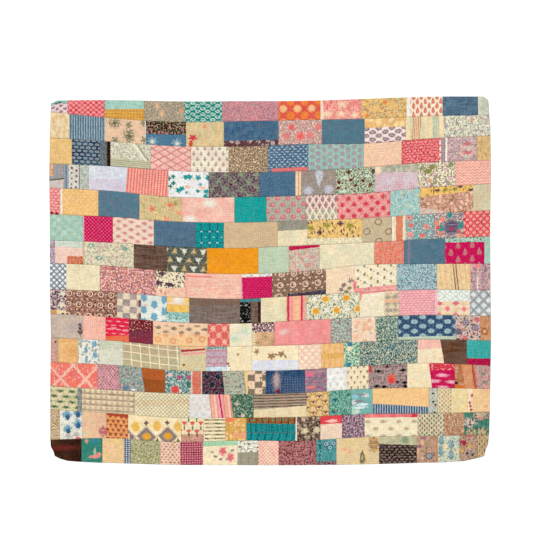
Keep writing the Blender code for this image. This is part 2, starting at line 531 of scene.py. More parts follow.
# %% Scattered prints and woven effects
def mottle(color, size=3, amount=0.5, seed=1):
    """Soft blotches of a second dye, as in washed or hand-painted cloth."""
    return lambda at, under: mix(below(cloud(at, size, seed), 0.5, 0.14) * amount, under, color)


def specks(color, size=1.1, cover=0.3, seed=2):
    """Small hard specks that cover about that share of the cloth."""
    edge = 0.5 + (cover - 0.5) * 0.32
    return lambda at, under: mix(below(cloud(at, size, seed, 1.0), edge, 0.025), under, color)


def slub(color, amount=0.5, seed=3):
    """Uneven threads of a second dye along and across, as in hand-loomed cloth and worn denim."""

    def printed(at, under):
        threads = cloud(at, (0.7, 8), seed) + cloud(at, (8, 0.7), seed + 1)
        return mix(below(threads, 1.0, 0.16) * amount, under, color)

    return printed


def worms(color, size=2.0, width=0.3, seed=4):
    """Winding lines: the contour where a cloud passes through its middle."""

    def printed(at, under):
        line = size_of(cloud(at, size, seed, 1.0) - 0.5)
        return mix(below(line, 0.09 * width, 0.012), under, color)

    return printed


def vines(color, size=3.0, width=0.12, seed=5):
    """A net of curved stems: the borders between cells, bent by a cloud."""

    def printed(at, under):
        bent = SimpleNamespace(place=Value(add_node("ShaderNodeVectorMath", {
            0: at.place, 1: vector(cloud(at, size, seed) * size, cloud(at, size, seed + 1) * size),
        }, operation="ADD").outputs[0]))
        inputs = {"Vector": stretched(bent, size, seed), "Scale": 1.0}
        node = add_node("ShaderNodeTexVoronoi", inputs, voronoi_dimensions="2D", feature="DISTANCE_TO_EDGE")
        return mix(below(Value(node.outputs["Distance"]), width, 0.05), under, color)

    return printed


def florets(color, size=2.4, share=0.4, count=5, fill=0.42, seed=6):
    """Scattered small flowers: a flower in the middle of that share of the cells."""

    def printed(at, under):
        x, y, chance = cells(at, size, seed)
        flower = petals(count, 0.2)(x / fill, y / fill)
        return mix(below(flower, 1, 0.2) * below(chance, share, 0.01), under, color)

    return printed


def leaves(color, size=2.0, share=0.7, slant=0.6, fill=0.42, seed=7):
    """Scattered pointed leaves that lean by `slant`."""

    def printed(at, under):
        x, y, chance = cells(at, (size * 0.7, size), seed)
        lean = (chance - 0.35) * (slant * 3)
        shape = leaf((x + y * lean) / (fill * 0.5), y / fill)
        return mix(below(shape, 1, 0.2) * below(chance, share, 0.01), under, color)

    return printed


def feathered(printed_layer, reach=0.8, upright=True, seed=8):
    """The same layer with its edges drawn out along the threads, as in ikat."""

    def printed(at, under):
        pull = (cloud(at, (0.5, 9) if upright else (9, 0.5), seed) - 0.5) * (4 * reach)
        moved = SimpleNamespace(**vars(at))
        if upright:
            moved.y = at.y + pull
        else:
            moved.x = at.x + pull
        moved.place = vector(moved.x, moved.y)
        return printed_layer(moved, under)

    return printed


# %% [markdown]
# ## Patches pieced from smaller bits
# Where a scrap was too short, two or three were joined first. A piece here is a ground with its own
# prints that covers part of a patch. Its border keeps a crease, because that join is a seam too.


# %% Pieced bits
def laid(at, ground, layers, under=None):
    """The ground dye, or a rule, with each layer printed over it in turn."""
    color = ground(at, under) if callable(ground) else ground
    for layer in layers:
        color = layer(at, color)
    return color


def piece(ground, *layers, top=None, bottom=None, left=None, right=None):
    """A bit with its own ground and prints. Each given side is where it ends on the whole cloth,
    as one number, or as a pair for a slanted side: (left, right) or (upper, lower)."""

    def line(at, side, level):
        """How far a place lies past a side, in cm: below a level one, right of an upright one."""
        if not isinstance(side, tuple):
            side = (side, side)
        if level:
            if side[0] == side[1]:
                return at.y - at.place_of(((at.left + at.right) / 2, side[0]))[1]
            first = at.place_of((at.left, side[0]))[1]
            last = at.place_of((at.right, side[1]))[1]
            return at.y - (at.x - at.left) * ((last - first) / (at.right - at.left)) - first
        return at.x - at.y * ((side[1] - side[0]) / STRIP_TALL_CM) - side[0]

    def printed(at, under):
        inside = None
        for side, level, sign in ((top, True, 1), (bottom, True, -1), (left, False, 1), (right, False, -1)):
            if side is None:
                continue
            past = line(at, side, level)
            at.creases.append(past)
            part = below(past * -sign, 0, 0.06)
            inside = part if inside is None else inside * part
        return mix(inside, under, laid(at, ground, layers, under))

    return printed


# %% [markdown]
# ## The patches, strip by strip
# Over 200 scraps are sewn into the cloth, and no two are the same. A long table would hide what they
# are, so each strip has a cell of its own: for each patch, from the left, where it ends, its ground
# cloth, and the prints on it. Places such as (78, 183) are centimetres from the cloth's upper left.

# %% How a strip is written down
PATCHES = []


def sew(*patches):
    """Add one strip. A patch is where it ends, as x or as (upper x, lower x), a ground, and its prints."""
    rows = []
    for end, ground, *layers in patches:
        ends = end if isinstance(end, tuple) else (end, end)
        rows.append((ends, ground, *layers))
    PATCHES.append(rows)
    print("strip", len(PATCHES), "has", len(rows), "patches")


END = 275

# %% [markdown]
# Strip 1 starts with a green and pink scrap at the rounded corner, runs through reds, mint and green,
# and ends in plain indigo and grey.

# %% Strip 1
sew(
    (11.5, d.mint_sea, specks(d.pine, 1.3), florets(d.mint, 1.6),
        piece(d.shell_shell_lavender, spots(d.mauve_grape, (4.8, 1.8), (2.3, 1.7), start=(7.3, 6.3)),
            top=4.8)),
    (34.5, d.red_red_coral, lattice(d.crimson_crimson_red, (3.6, 3), 0.7, (15, 6)),
        spots(d.pink_pink_salmon, (3.6, 1.5), (2, 1.6), start=(15, 6), rag=0.3), mottle(d.pink, 5, 0.25)),
    (59, d.mint_mint_aqua, mottle(d.mint_ice), slub(d.sea_mint),
        piece(d.gold, mottle(d.yellow, 6, 0.4), checks(d.rust_mustard, 1.9, 0.5, 0.55), top=(8.6, 8.2))),
    (84, d.taupe_grey, mottle(d.sand_sage, 3, 0.4), specks(d.taupe_moss, 1, 0.34),
        mottle(d.tan_sand, 2.6, 0.2, 6), specks(d.sand, 1.1, 0.12, 9),
        dabs(d.orange_sand, (2.6, 3.2), petals(5), (82, 9.5), soft=0.5),
        dabs(d.apricot_sand, (3.6, 4), petals(5), (67, 6.5), (70, 11), soft=0.5, rag=0.4)),
    (107.5, d.green_green_teal, spots(d.mint_mint_ice, (6.2, 1.75), (3.5, 2.3), ring, start=(98.5, 6.3)),
        spots(d.aqua_mint, (6.2, 1.75), (2.4, 1.5), start=(98.5, 6.3)),
        spots(d.mauve_sea, (6.2, 1.75), (1.2, 0.8), start=(98.5, 6.3)), specks(d.teal, 1.4, 0.12)),
    (142.5, d.rose_mauve, mottle(d.plum_mauve, (3, 1.6), 0.6), mottle(d.salmon_rose, (9, 3), 0.5, 5),
        specks(d.crimson_mauve, 0.9, 0.24), specks(d.blush_mauve, 1, 0.14, 8)),
    (168.5, d.red_red_brick,
        spots(d.orange_red_orange, (8.8, 4.3), (5.8, 5.6), petals(8, 0.1), start=(145.5, 8.2)),
        mottle(d.red_orange, 2, 0.4),
        spots(d.orange, (8.8, 8.6), (5, 4.8), petals(8, 0.1), 0, (149.9, 12.5)),
        spots(d.orange_honey, (8.8, 8.6), (5, 4.8), petals(8, 0.1), 0, (145.5, 8.2)),
        spots(d.honey_peach, (8.8, 8.6), (3.6, 3.4), disc, 0, (145.5, 8.2), soft=0.5)),
    (194, d.pink_coral, feathered(mottle(d.rose_coral, 1.6, 0.8), 1.5),
        feathered(mottle(d.shell_cream, (2.2, 1.6), 0.6, 4), 1.2),
        feathered(specks(d.coral_red, 1.2, 0.2), 1),
        feathered(
            dabs(d.cream_peach, (5, 3), disc, (173.4, 11.6), (181.4, 11.2), (190, 11.8), (182, 5.4),
                soft=0.6, rag=0.5), 0.7), piece(d.shell_cream, right=(170, 171.4))),
    (222, d.straw_yellow, mottle(d.olive_yellow, 2.4, 0.7), specks(d.tan_rust, 1.1, 0.26),
        mottle(d.celery_sage, (5, 3), 0.4, 7), florets(d.honey_yellow, 3.6, 0.6, 9, 0.5),
        specks(d.brick_tan, 1.3, 0.1, 5),
        dabs(d.orange, (3, 3), petals(5), (197.5, 12.3), (208.6, 4.2), rag=0.4),
        dabs(d.honey, (6, 6), petals(9, 0.3), (213, 6), (203, 8))),
    (244.5, d.milk_cream,
        spots(d.brick_brick_rose, (4.85, 2.8), (3.1, 4.1), drop, start=(228.9, 3.4), rag=0.1),
        spots(d.orange_salmon, (4.85, 2.8), (1.6, 2.4), drop, start=(229.3, 3.5), rag=0.1),
        piece(d.milk, right=224.5)),
    (266.5, d.denim_denim_slate, slub(d.navy, 0.6), mottle(d.slate_sky, (5, 3), 0.25),
        mottle(d.navy_slate, 6, 0.4, 6)),
    (END, d.celery_celery_ash, slub(d.sage, 0.4), mottle(d.milk, 5, 0.4)),
)

# %% [markdown]
# Strip 2 has the blue ticking, the sprigs on peach, and one red flower on tan.

# %% Strip 2
sew(
    (12.5, d.cream_cream_ecru, mottle(d.honey_sand, (2.4, 5), 0.8), mottle(d.tan_honey, (1.8, 3), 0.4, 4)),
    (34.5, d.slate_slate_sky, stripes(d.ink_slate, 1.55, 0.6), stripes(d.sky_ash, 1.55, 0.55, start=0.8),
        stripes(d.maroon_slate, 4.65, 0.5, start=1.5), slub(d.denim, 0.4)),
    (60, d.peach_biscuit_biscuit, mottle(d.peach, 6),
        dabs(d.taupe_moss, (6.6, 5.2), disc, (40.5, 17), rag=0.8),
        dabs(d.taupe_moss, (6.4, 8), disc, (49.6, 24.6), rag=0.7),
        dabs(d.taupe_moss, (4.6, 4.4), petals(5, 0.3), (49.4, 18.2), (58.6, 17), (40.8, 27.8), (59, 27.6),
            rag=0.6), dabs(d.umber_moss, (3.6, 2.8), petals(5), (40.8, 17), (49.8, 25), rag=0.6),
        dabs(d.peach, (1.6, 0.9), leaf, (48, 23.6), (51, 24.2), (49.4, 21.4), (39, 16), (42, 18.2)),
        piece(d.milk, left=(59.3, 60))),
    (85, d.umber_bark, specks(d.black, 1.2, 0.4), specks(d.taupe_moss, 1, 0.26, 5),
        florets(d.sand_taupe, 1.8, 0.4, 5, 0.3), florets(d.plum_rose, 2.4, 0.3),
        piece(d.blue_denim, slub(d.denim), mottle(d.blue_slate, 3, 0.4),
            dabs(d.sky_ash, (5.6, 5), petals(8, 0.4), (64, 28.4), (79.4, 29.6), soft=0.5, rag=0.4),
            dabs(d.celery_cream, (2, 1.8), disc, (64, 28.6), (79.4, 29.8), soft=0.4), top=(23.6, 24.3))),
    (108.5, d.straw_honey_biscuit, mottle(d.celery_straw, 4), mottle(d.khaki_olive, (2, 5), 0.4, 6),
        dabs(d.red_red_crimson, (5, 4.2), petals(5, 0.2), (89.2, 26.2), rag=0.5),
        dabs(d.rust_red, (2.6, 5), leaf, (88, 30)),
        dabs(d.orange_salmon, (2.4, 2.4), petals(5), (96.3, 19.4), soft=0.4)),
    (142.5, d.denim_royal, slub(d.blue), mottle(d.teal_slate, (10, 3), 0.4), mottle(d.royal, 5, 0.4, 3),
        mottle(d.slate_taupe, (1.2, 4), 0.25, 8),
        piece(d.plum_umber, florets(d.stone_stone_mauve, 3.2, 0.8, 5, 0.5), specks(d.umber, 1.1, 0.2),
            top=(28.2, 27.4))),
    (169.5, d.stone_rose, specks(d.milk, 1, 0.26), leaves(d.taupe_moss, 1.7, 0.9),
        specks(d.grape_rose, 1.2, 0.3, 6), mottle(d.shell_tan, 2, 0.3),
        dabs(d.coral_rose, (4.4, 4.2), petals(6, 0.1), (150.6, 19.6), (167, 19.5), (147.4, 25), (162, 24.5),
            rag=0.4), dabs(d.coral_rose, (6, 6), petals(7, 0.08), (156, 25), rag=0.3),
        dabs(d.coral_red, (3.4, 3.2), petals(5), (156, 25.2), (150.6, 19.8), soft=0.4)),
    (196, d.denim_denim_slate, slub(d.teal_slate, 0.6), mottle(d.slate_plum, 3, 0.35),
        mottle(d.blue_teal, (1.4, 5), 0.3, 6)),
    (221.5, d.honey, mottle(d.mustard_apricot, 2.4, 0.7), florets(d.yellow_cream, 4.2, 0.7, 9, 0.5),
        piece(d.shell_white, spots(d.maroon_mauve, (8, 2.3), (4.2, 2.7), start=(205, 24.9), rag=0.25),
            spots(d.sage_grey_stone, (8, 2.3), (2.6, 1.4), start=(205, 24.9), rag=0.4), top=(20, 19.2))),
    (245.5, d.straw_cream, stripes(d.celery_straw, 7, 2.4, -0.05),
        piece(d.biscuit_biscuit_straw, stripes(d.brick_tan, 1.4, 0.5, -0.06), left=(226, 224.8),
            right=(231.6, 230.4)),
        piece(d.sage_celery, stripes(d.celery, 1.6, 0.5), left=(238.6, 238.4), right=(242.2, 242)),
        stripes(d.apricot, 7, 0.45, -0.05, start=3, amount=0.7)),
    (END, d.celery_milk, mottle(d.cream, 4), vines(d.taupe_sage, 2.8, 0.05),
        florets(d.mauve_blush, 3, 0.4, 5, 0.3), specks(d.plum_ash, 1.5, 0.08),
        leaves(d.sage_moss, 2.2, 0.5, 0.8, 0.34),
        dabs(d.lilac_plum, (3, 2.2), petals(4), (246.6, 19.2), rag=0.5),
        dabs(d.rose_tan, (2.6, 2.4), petals(5), (262.6, 15), rag=0.5)),
)

# %% [markdown]
# Strip 3 goes from plain mustard to ovals on dark teal, dotted aqua and small red scales.

# %% Strip 3
sew(
    (14, d.honey_honey_straw, spots(d.honey, (2.2, 1.6), (1, 0.8)), mottle(d.mustard_honey, 4, 0.4),
        slub(d.gold_straw)),
    (38, d.navy_ink, mottle(d.teal_slate, 6, 0.4),
        spots(d.slate_ash, (3.7, 2.2), (2.7, 1.6), ring, start=(22.3, 34.5), rag=0.1),
        spots(d.mauve_slate, (3.7, 2.2), (1.1, 0.6), start=(22.3, 34.5)),
        piece(d.grey_bottle, slub(d.slate, 0.6), specks(d.ink_slate), left=31.4),
        piece(d.black_bark, specks(d.umber, 0.9, 0.2), left=35.8)),
    (63, d.khaki_milk, specks(d.taupe_sage, 1), worms(d.taupe_sage, 1.7, 0.45), vines(d.milk, 2.6, 0.07),
        mottle(d.celery, 4, 0.4), piece(d.cream_milk, left=(51.2, 62.9), right=(52.6, 64.3), bottom=40.5),
        piece(d.taupe_moss, left=(53.6, 65.3), right=(54.3, 66), bottom=40),
        piece(d.khaki_celery, stripes(d.taupe_sage, 1.2, 0.5, level=True), top=39.8)),
    (88, d.shell_peach, mottle(d.blush_rose, (8, 4), 0.4),
        lattice(d.rose_blush, (7.6, 4.4), 1.3, (75.5, 38)),
        lattice(d.brick_maroon_rose, (7.6, 4.4), 0.45, (75.5, 38)), mottle(d.salmon_blush, 6, 0.35)),
    (111.5, d.cream_milk, mottle(d.shell, 8, 0.6),
        spots(d.stone_sage, (4.6, 3.3), (2.6, 3.2), sprig, start=(99, 36.2)),
        spots(d.grey_sage, (4.6, 3.3), (1.5, 1.9), drop, start=(99, 36.2), soft=0.3, rag=0.4)),
    (136, d.tan_taupe, specks(d.brown, 0.9, 0.42), specks(d.cream_straw, 0.9, 0.24, 5),
        worms(d.brown_taupe, 1.6, 0.6)),
    (161, d.royal_slate, mottle(d.ink_slate, 4),
        spots(d.lavender_sky, (3.3, 1.55), (1.6, 0.7), leaf, start=(148, 38), rag=0.4),
        specks(d.sky_slate, 0.9, 0.2),
        piece(d.pink_crimson, mottle(d.orange, 5, 0.3), top=(45.6, 44.3), left=(138, 138))),
    (195.5, d.aqua_mint_sea, mottle(d.sky_lilac_sage, 4), slub(d.celery_mint, 0.4),
        spots(d.mauve_grape, (7.4, 2.15), (2.3, 2.3), start=(174.6, 36), soft=0.6, rag=0.2),
        spots(d.lilac_mauve, (7.4, 2.15), (1.1, 1), start=(174.6, 36), soft=0.4)),
    (219, d.peach_peach_cream, zigzag(d.salmon_peach, 2.6, 1, 1.7, 0.55), mottle(d.peach_straw, 8)),
    (243.5, d.coral_red, mottle(d.scarlet_red, 3, 0.4),
        spots(d.pink, (2.7, 1.7), (2.2, 1.5), leaf, rag=0.5), specks(d.crimson_maroon, 0.9, 0.18),
        dabs(d.milk, (3.6, 3.4), disc, (244.2, 33), (244.2, 37), (244.2, 29), (244.2, 40.8))),
    (266, d.mauve_shell, specks(d.plum_mauve, 1, 0.34), worms(d.shell, 1.7, 0.6),
        mottle(d.mauve_grape, 4, 0.4), specks(d.sage_grey, 1.4, 0.1, 8),
        dabs(d.rose_shell, (9, 7.4), hoop, (259.6, 35), rag=0.4),
        dabs(d.rose_crimson, (5.2, 2.6), petals(6), (260, 35.4), (259.8, 30), rag=0.5),
        dabs(d.celery_stone, (4, 1.6), disc, (261, 32.4), (259, 38)),
        piece(d.mauve_stone, checks(d.plum_mauve, 1.4, 0.4), right=(246.2, 246)),
        piece(d.milk, left=(246.4, 246.2), right=(247.4, 247.4))),
    (END, d.honey_straw, mottle(d.brown_tan, (1, 3.4), 0.6), mottle(d.yellow_tan, 2, 0.4, 8)),
)

# %% [markdown]
# Strip 4 opens with narrow scraps, then pale lavender, a coral weave, teal flowers on white, and dark
# roses. Far to the right is a leafy print and the peach chevron.

# %% Strip 4
sew(
    (9, d.plum_taupe_grey, lattice(d.ash, (1.7, 1.7), 0.45, (5, 48)), mottle(d.mauve_grey, 3, 0.3),
        piece(d.tan_orange, mottle(d.cream, 1.4), right=(2, 2.6), bottom=50),
        piece(d.celery_lilac, specks(d.blush_stone, 1, 0.4), top=(52.8, 51.4)),
        piece(d.moss_ink, top=(52.2, 51), bottom=(53, 51.9))),
    (19, d.celery_ice, specks(d.stone_blush, 1),
        dabs(d.bottle, (1.5, 1.5), petals(5), (14, 48), (14, 51.6), (13.8, 55), (13.6, 57.4)),
        dabs(d.maroon_maroon_grey, (1.6, 1.6), disc, (17, 46.6), (16.6, 53.4), (16.5, 57), (14, 45),
            (16.8, 50)), piece(d.slate_slate_grey, stripes(d.ash, 1.6, 0.4), right=12),
        piece(d.ash_blue, right=10), piece(d.plum_bottle, stripes(d.ash, 1.2, 0.5, level=True), left=18.3)),
    (24.5, d.ash_celery, specks(d.sage_grey, 1, 0.4), worms(d.grey_sage, 1.6, 0.6), mottle(d.ice, 3, 0.4)),
    ((48.6, 47.6), d.lavender_lavender_ice, slub(d.lilac), mottle(d.ice, 7),
        piece(d.lavender_lilac, slub(d.blush_lilac), mottle(d.lavender, 6), top=52)),
    (74, d.salmon_peach, stripes(d.coral_red, 1.85, 0.75, 0.08, amount=0.85),
        stripes(d.blush_shell, 1.85, 0.4, 0.08, start=0.9),
        stripes(d.brick_coral, 1.3, 0.45, level=True, amount=0.5), mottle(d.coral_pink, 4, 0.3)),
    (99, d.white_ice, mottle(d.shell_white, 6, 0.4), florets(d.mint_yellow, 2.4, 0.3, 5, 0.3),
        leaves(d.sage_ice, 2.4, 0.3),
        dabs(d.turquoise_teal, (3.6, 3.2), petals(5, 0.14), (85, 50.6), (87.2, 50.5), (92.4, 51),
            (82.2, 57.8), (80.2, 59), (97.6, 59.6), (97.2, 62.4), (98.6, 51), rag=0.4),
        dabs(d.green_teal, (2.8, 2.6), petals(4), (77, 50.2), (77.2, 54.4), (75.4, 56.3), (92.4, 59.2),
            (74.6, 51.6), rag=0.4),
        dabs(d.apricot_peach, (3.4, 2.2), disc, (86, 56.8), (95.3, 57.4), rag=0.4),
        dabs(d.blue_sky, (2, 1.8), disc, (94, 55.2), (85.4, 60.2))),
    (131, d.plum_umber_slate, mottle(d.umber_ink), mottle(d.grey_mauve, (5, 4), 0.3, 6),
        spots(d.leaf_taupe, (9.5, 4.4), (4.6, 5.2), petals(5, 0.1), start=(110, 58), soft=0.5, rag=0.4),
        spots(d.sage_leaf, (9.5, 4.4), (1.6, 2.8), start=(109.6, 58), soft=0.6, rag=0.4),
        dabs(d.maroon_plum, (3, 2.6), petals(5), (127.5, 59), (106, 61), (113, 55), (118, 61.8), rag=0.4),
        specks(d.mauve_taupe, 1.2, 0.14), specks(d.ink_umber, 1.1, 0.14, 9)),
    (153, d.denim_blue_slate, slub(d.navy_denim), specks(d.navy_denim, 1),
        mottle(d.blue_slate, (4, 3), 0.4)),
    (178, d.taupe_taupe_stone, slub(d.taupe_brown), specks(d.brown_taupe, 1, 0.24),
        mottle(d.sage_taupe, 5, 0.4), dabs(d.ash_lavender, (6.4, 11), hanging_drop, (167.8, 51.2)),
        dabs(d.ash_lilac, (6.2, 5.8), petals(8, 0.06), (161.2, 59), (173.6, 58.2)),
        dabs(d.lavender_ash, (3.4, 3.2), disc, (161.2, 59), (173.6, 58.2), (167.8, 49.8), soft=0.5),
        specks(d.slate_lilac, 0.9, 0.06),
        piece(d.peach_straw, stripes(d.tan, 3.4, 0.5, start=0.3), right=156.4)),
    (202.5, d.sage_mint, leaves(d.bottle_leaf, 1.8, 0.9, 1), specks(d.ecru, 1, 0.28),
        specks(d.umber_bottle, 1.1, 0.22, 6),
        dabs(d.maroon_umber, (2.6, 2.4), petals(5), (180, 53.8), (187.5, 52.4), (195, 52.8), (179.5, 57.6),
            (190.4, 55.8), (186, 47.6), (199.5, 55.4), rag=0.4),
        dabs(d.milk_mint, (4, 2), leaf, (184, 50.8), (183, 59.5), (198, 50)),
        dabs(d.bottle_umber, (2.6, 2.6), disc, (201.4, 46.8))),
    (229, d.lilac_shell, checks(d.mauve_rose, 1.3, 0.4, 0.5), mottle(d.lavender, 6),
        piece(d.sage_ash, mottle(d.cream), mottle(d.brown_sage, (2, 4)), bottom=(47.8, 47.4)),
        piece(d.cream_peach, right=206, bottom=47.6)),
    (252.5, d.milk_cream, leaves(d.olive_taupe, 2.6, 0.8, 1.1, 0.38), specks(d.brown_olive, 1, 0.24),
        florets(d.blush_lilac, 3.6), worms(d.brown_sage, 2.8),
        dabs(d.moss, (3, 2.8), disc, (232, 45), (249.8, 43), rag=0.3),
        dabs(d.leaf_sage, (1.6, 1.4), disc, (232, 45), (249.8, 43)),
        dabs(d.moss_olive, (5.4, 3.4), leaf, (235.4, 47), (238, 44.4), rag=0.4),
        dabs(d.orange_sand, (2.6, 3), petals(5), (236.8, 52.6)),
        dabs(d.mauve_taupe, (2.6, 3), petals(4), (247, 53.2), (237.6, 55.6), rag=0.4)),
    (END, d.peach_shell, zigzag(d.coral_salmon, 2.7, 1.2, 1.8, 0.6), mottle(d.peach_salmon, 7, 0.3)),
)

# %% [markdown]
# Strip 5 holds golden dots, plain teal, rose buds on grey, shells and the deep roses on pink.

# %% Strip 5
sew(
    (7, d.coral_pink, specks(d.crimson_coral, 1), spots(d.pink_shell, (2.8, 1.8), (2, 1.4), leaf, rag=0.5),
        dabs(d.milk, (3.2, 3.4), disc, (8, 60), (8.2, 64.5), (8, 69), (8.2, 73)),
        dabs(d.maroon, (2, 1.6), disc, (1.6, 73), (4.6, 73.2))),
    (30.5, d.yellow_peach_gold, mottle(d.gold_yellow, 5, 0.4),
        spots(d.peach_yellow, (2.9, 1.7), (1.5, 1.1), start=(11, 62.2), soft=0.4), piece(d.milk, right=8)),
    (56, d.denim_denim_slate, slub(d.slate_teal), mottle(d.blue_sea, (1.6, 5), 0.3),
        mottle(d.slate, 5, 0.6)),
    (82.5, d.straw_yellow_khaki, specks(d.tan_khaki, 1), mottle(d.lime_olive_celery, (5, 3)),
        mottle(d.peach_apricot, 4, 0.4, 7), leaves(d.olive_tan, 2, 0.4),
        dabs(d.orange_coral, (3.6, 3), petals(5), (64, 70.2), (75, 68), rag=0.4),
        dabs(d.coral_apricot, (4, 3), petals(5), (80.5, 72.8), (73, 77), rag=0.4),
        dabs(d.tan_olive, (2.6, 2.6), disc, (78.5, 67), rag=0.4)),
    (115, d.blush_peach, checks(d.salmon_pink, 1.4, 0.4, 0.55), mottle(d.shell_cream, 8),
        dabs(d.milk, (7, 4.6), disc, (99.5, 67), (87.5, 77), soft=0.6)),
    (135, d.turquoise, slub(d.teal, 0.6), mottle(d.sea_turquoise, 5, 0.3)),
    (159.5, d.sage_ash, mottle(d.stone_mauve, 2.4, 0.6), specks(d.leaf_sage, 1.1, 0.26),
        specks(d.rose_stone, 1.2, 0.2, 6),
        spots(d.crimson_rose, (6.5, 3.95), (3.2, 3), petals(5, 0.1), start=(148.4, 71.6), rag=0.3),
        spots(d.rose_shell, (6.5, 3.95), (1.1, 1), start=(148.6, 71.4), soft=0.4)),
    (179, d.mauve_shell, specks(d.brown_mauve, 1), lattice(d.cream_shell, (4.05, 7.1), 0.95, (168, 68)),
        spots(d.brown_mauve, (4.05, 3.55), (1.7, 3), hanging_drop, start=(168, 68.6), rag=0.4),
        piece(d.stone_celery, specks(d.mauve_sage, 1, 0.4), lattice(d.cream, (4.05, 7.1), 0.95, (168, 68)),
            spots(d.sage_mauve, (4.05, 3.55), (1.7, 2.4), hanging_drop, start=(168, 68.6), rag=0.4),
            top=70.6)),
    (212, d.pink_pink_coral, mottle(d.rose_shell, 2.4, 0.4), specks(d.stone_shell, 1.3, 0.16),
        spots(d.coral_crimson, (7.3, 3.65), (3.6, 3.3), petals(6, 0.1), start=(189.5, 67.6), rag=0.4),
        spots(d.red_crimson, (7.3, 3.65), (1.8, 1.6), petals(4), start=(189.5, 67.6)),
        leaves(d.rose, 2.4, 0.3)),
    (230.5, d.aqua_turquoise_ice, mottle(d.sky_mint, 3, 0.6), leaves(d.taupe_sea, 2.6, 0.5, 0.4, 0.34),
        florets(d.blush_stone, 3.2, 0.4, 5, 0.28), specks(d.celery, 1.5, 0.12)),
    (263.5, d.yellow_honey, leaves(d.umber_olive, 2.4, 0.6, 1.2, 0.44), mottle(d.gold, 4, 0.4),
        dabs(d.plum_umber, (4, 2.2), petals(5), (255.5, 56.4), (241, 59), (262, 58.6), rag=0.5),
        dabs(d.moss_olive, (4, 2.4), petals(5), (246, 58.6), (252, 58), rag=0.5),
        piece(d.tan_rose, mottle(d.biscuit_blush, 2.2, 0.7), worms(d.tan_brown, 2.4, 0.7),
            florets(d.blush_peach, 3.4, 0.5, 5, 0.34),
            piece(d.shell_celery, florets(d.pink_blush, 2.4, 0.7), leaves(d.leaf_celery, 1.8, 0.6),
                mottle(d.rose_tan, 3, 0.3), top=(69.4, 75.2)), top=(63.2, 59.2))),
    (END, d.khaki_ecru, checks(d.biscuit_tan, 1.4, 0.4, 0.4), mottle(d.celery, 6)),
)

# %% [markdown]
# Strip 6: squares on mint, white dots on magenta, a teal scrap with navy lines, yellow leaves, a big
# flower on indigo.

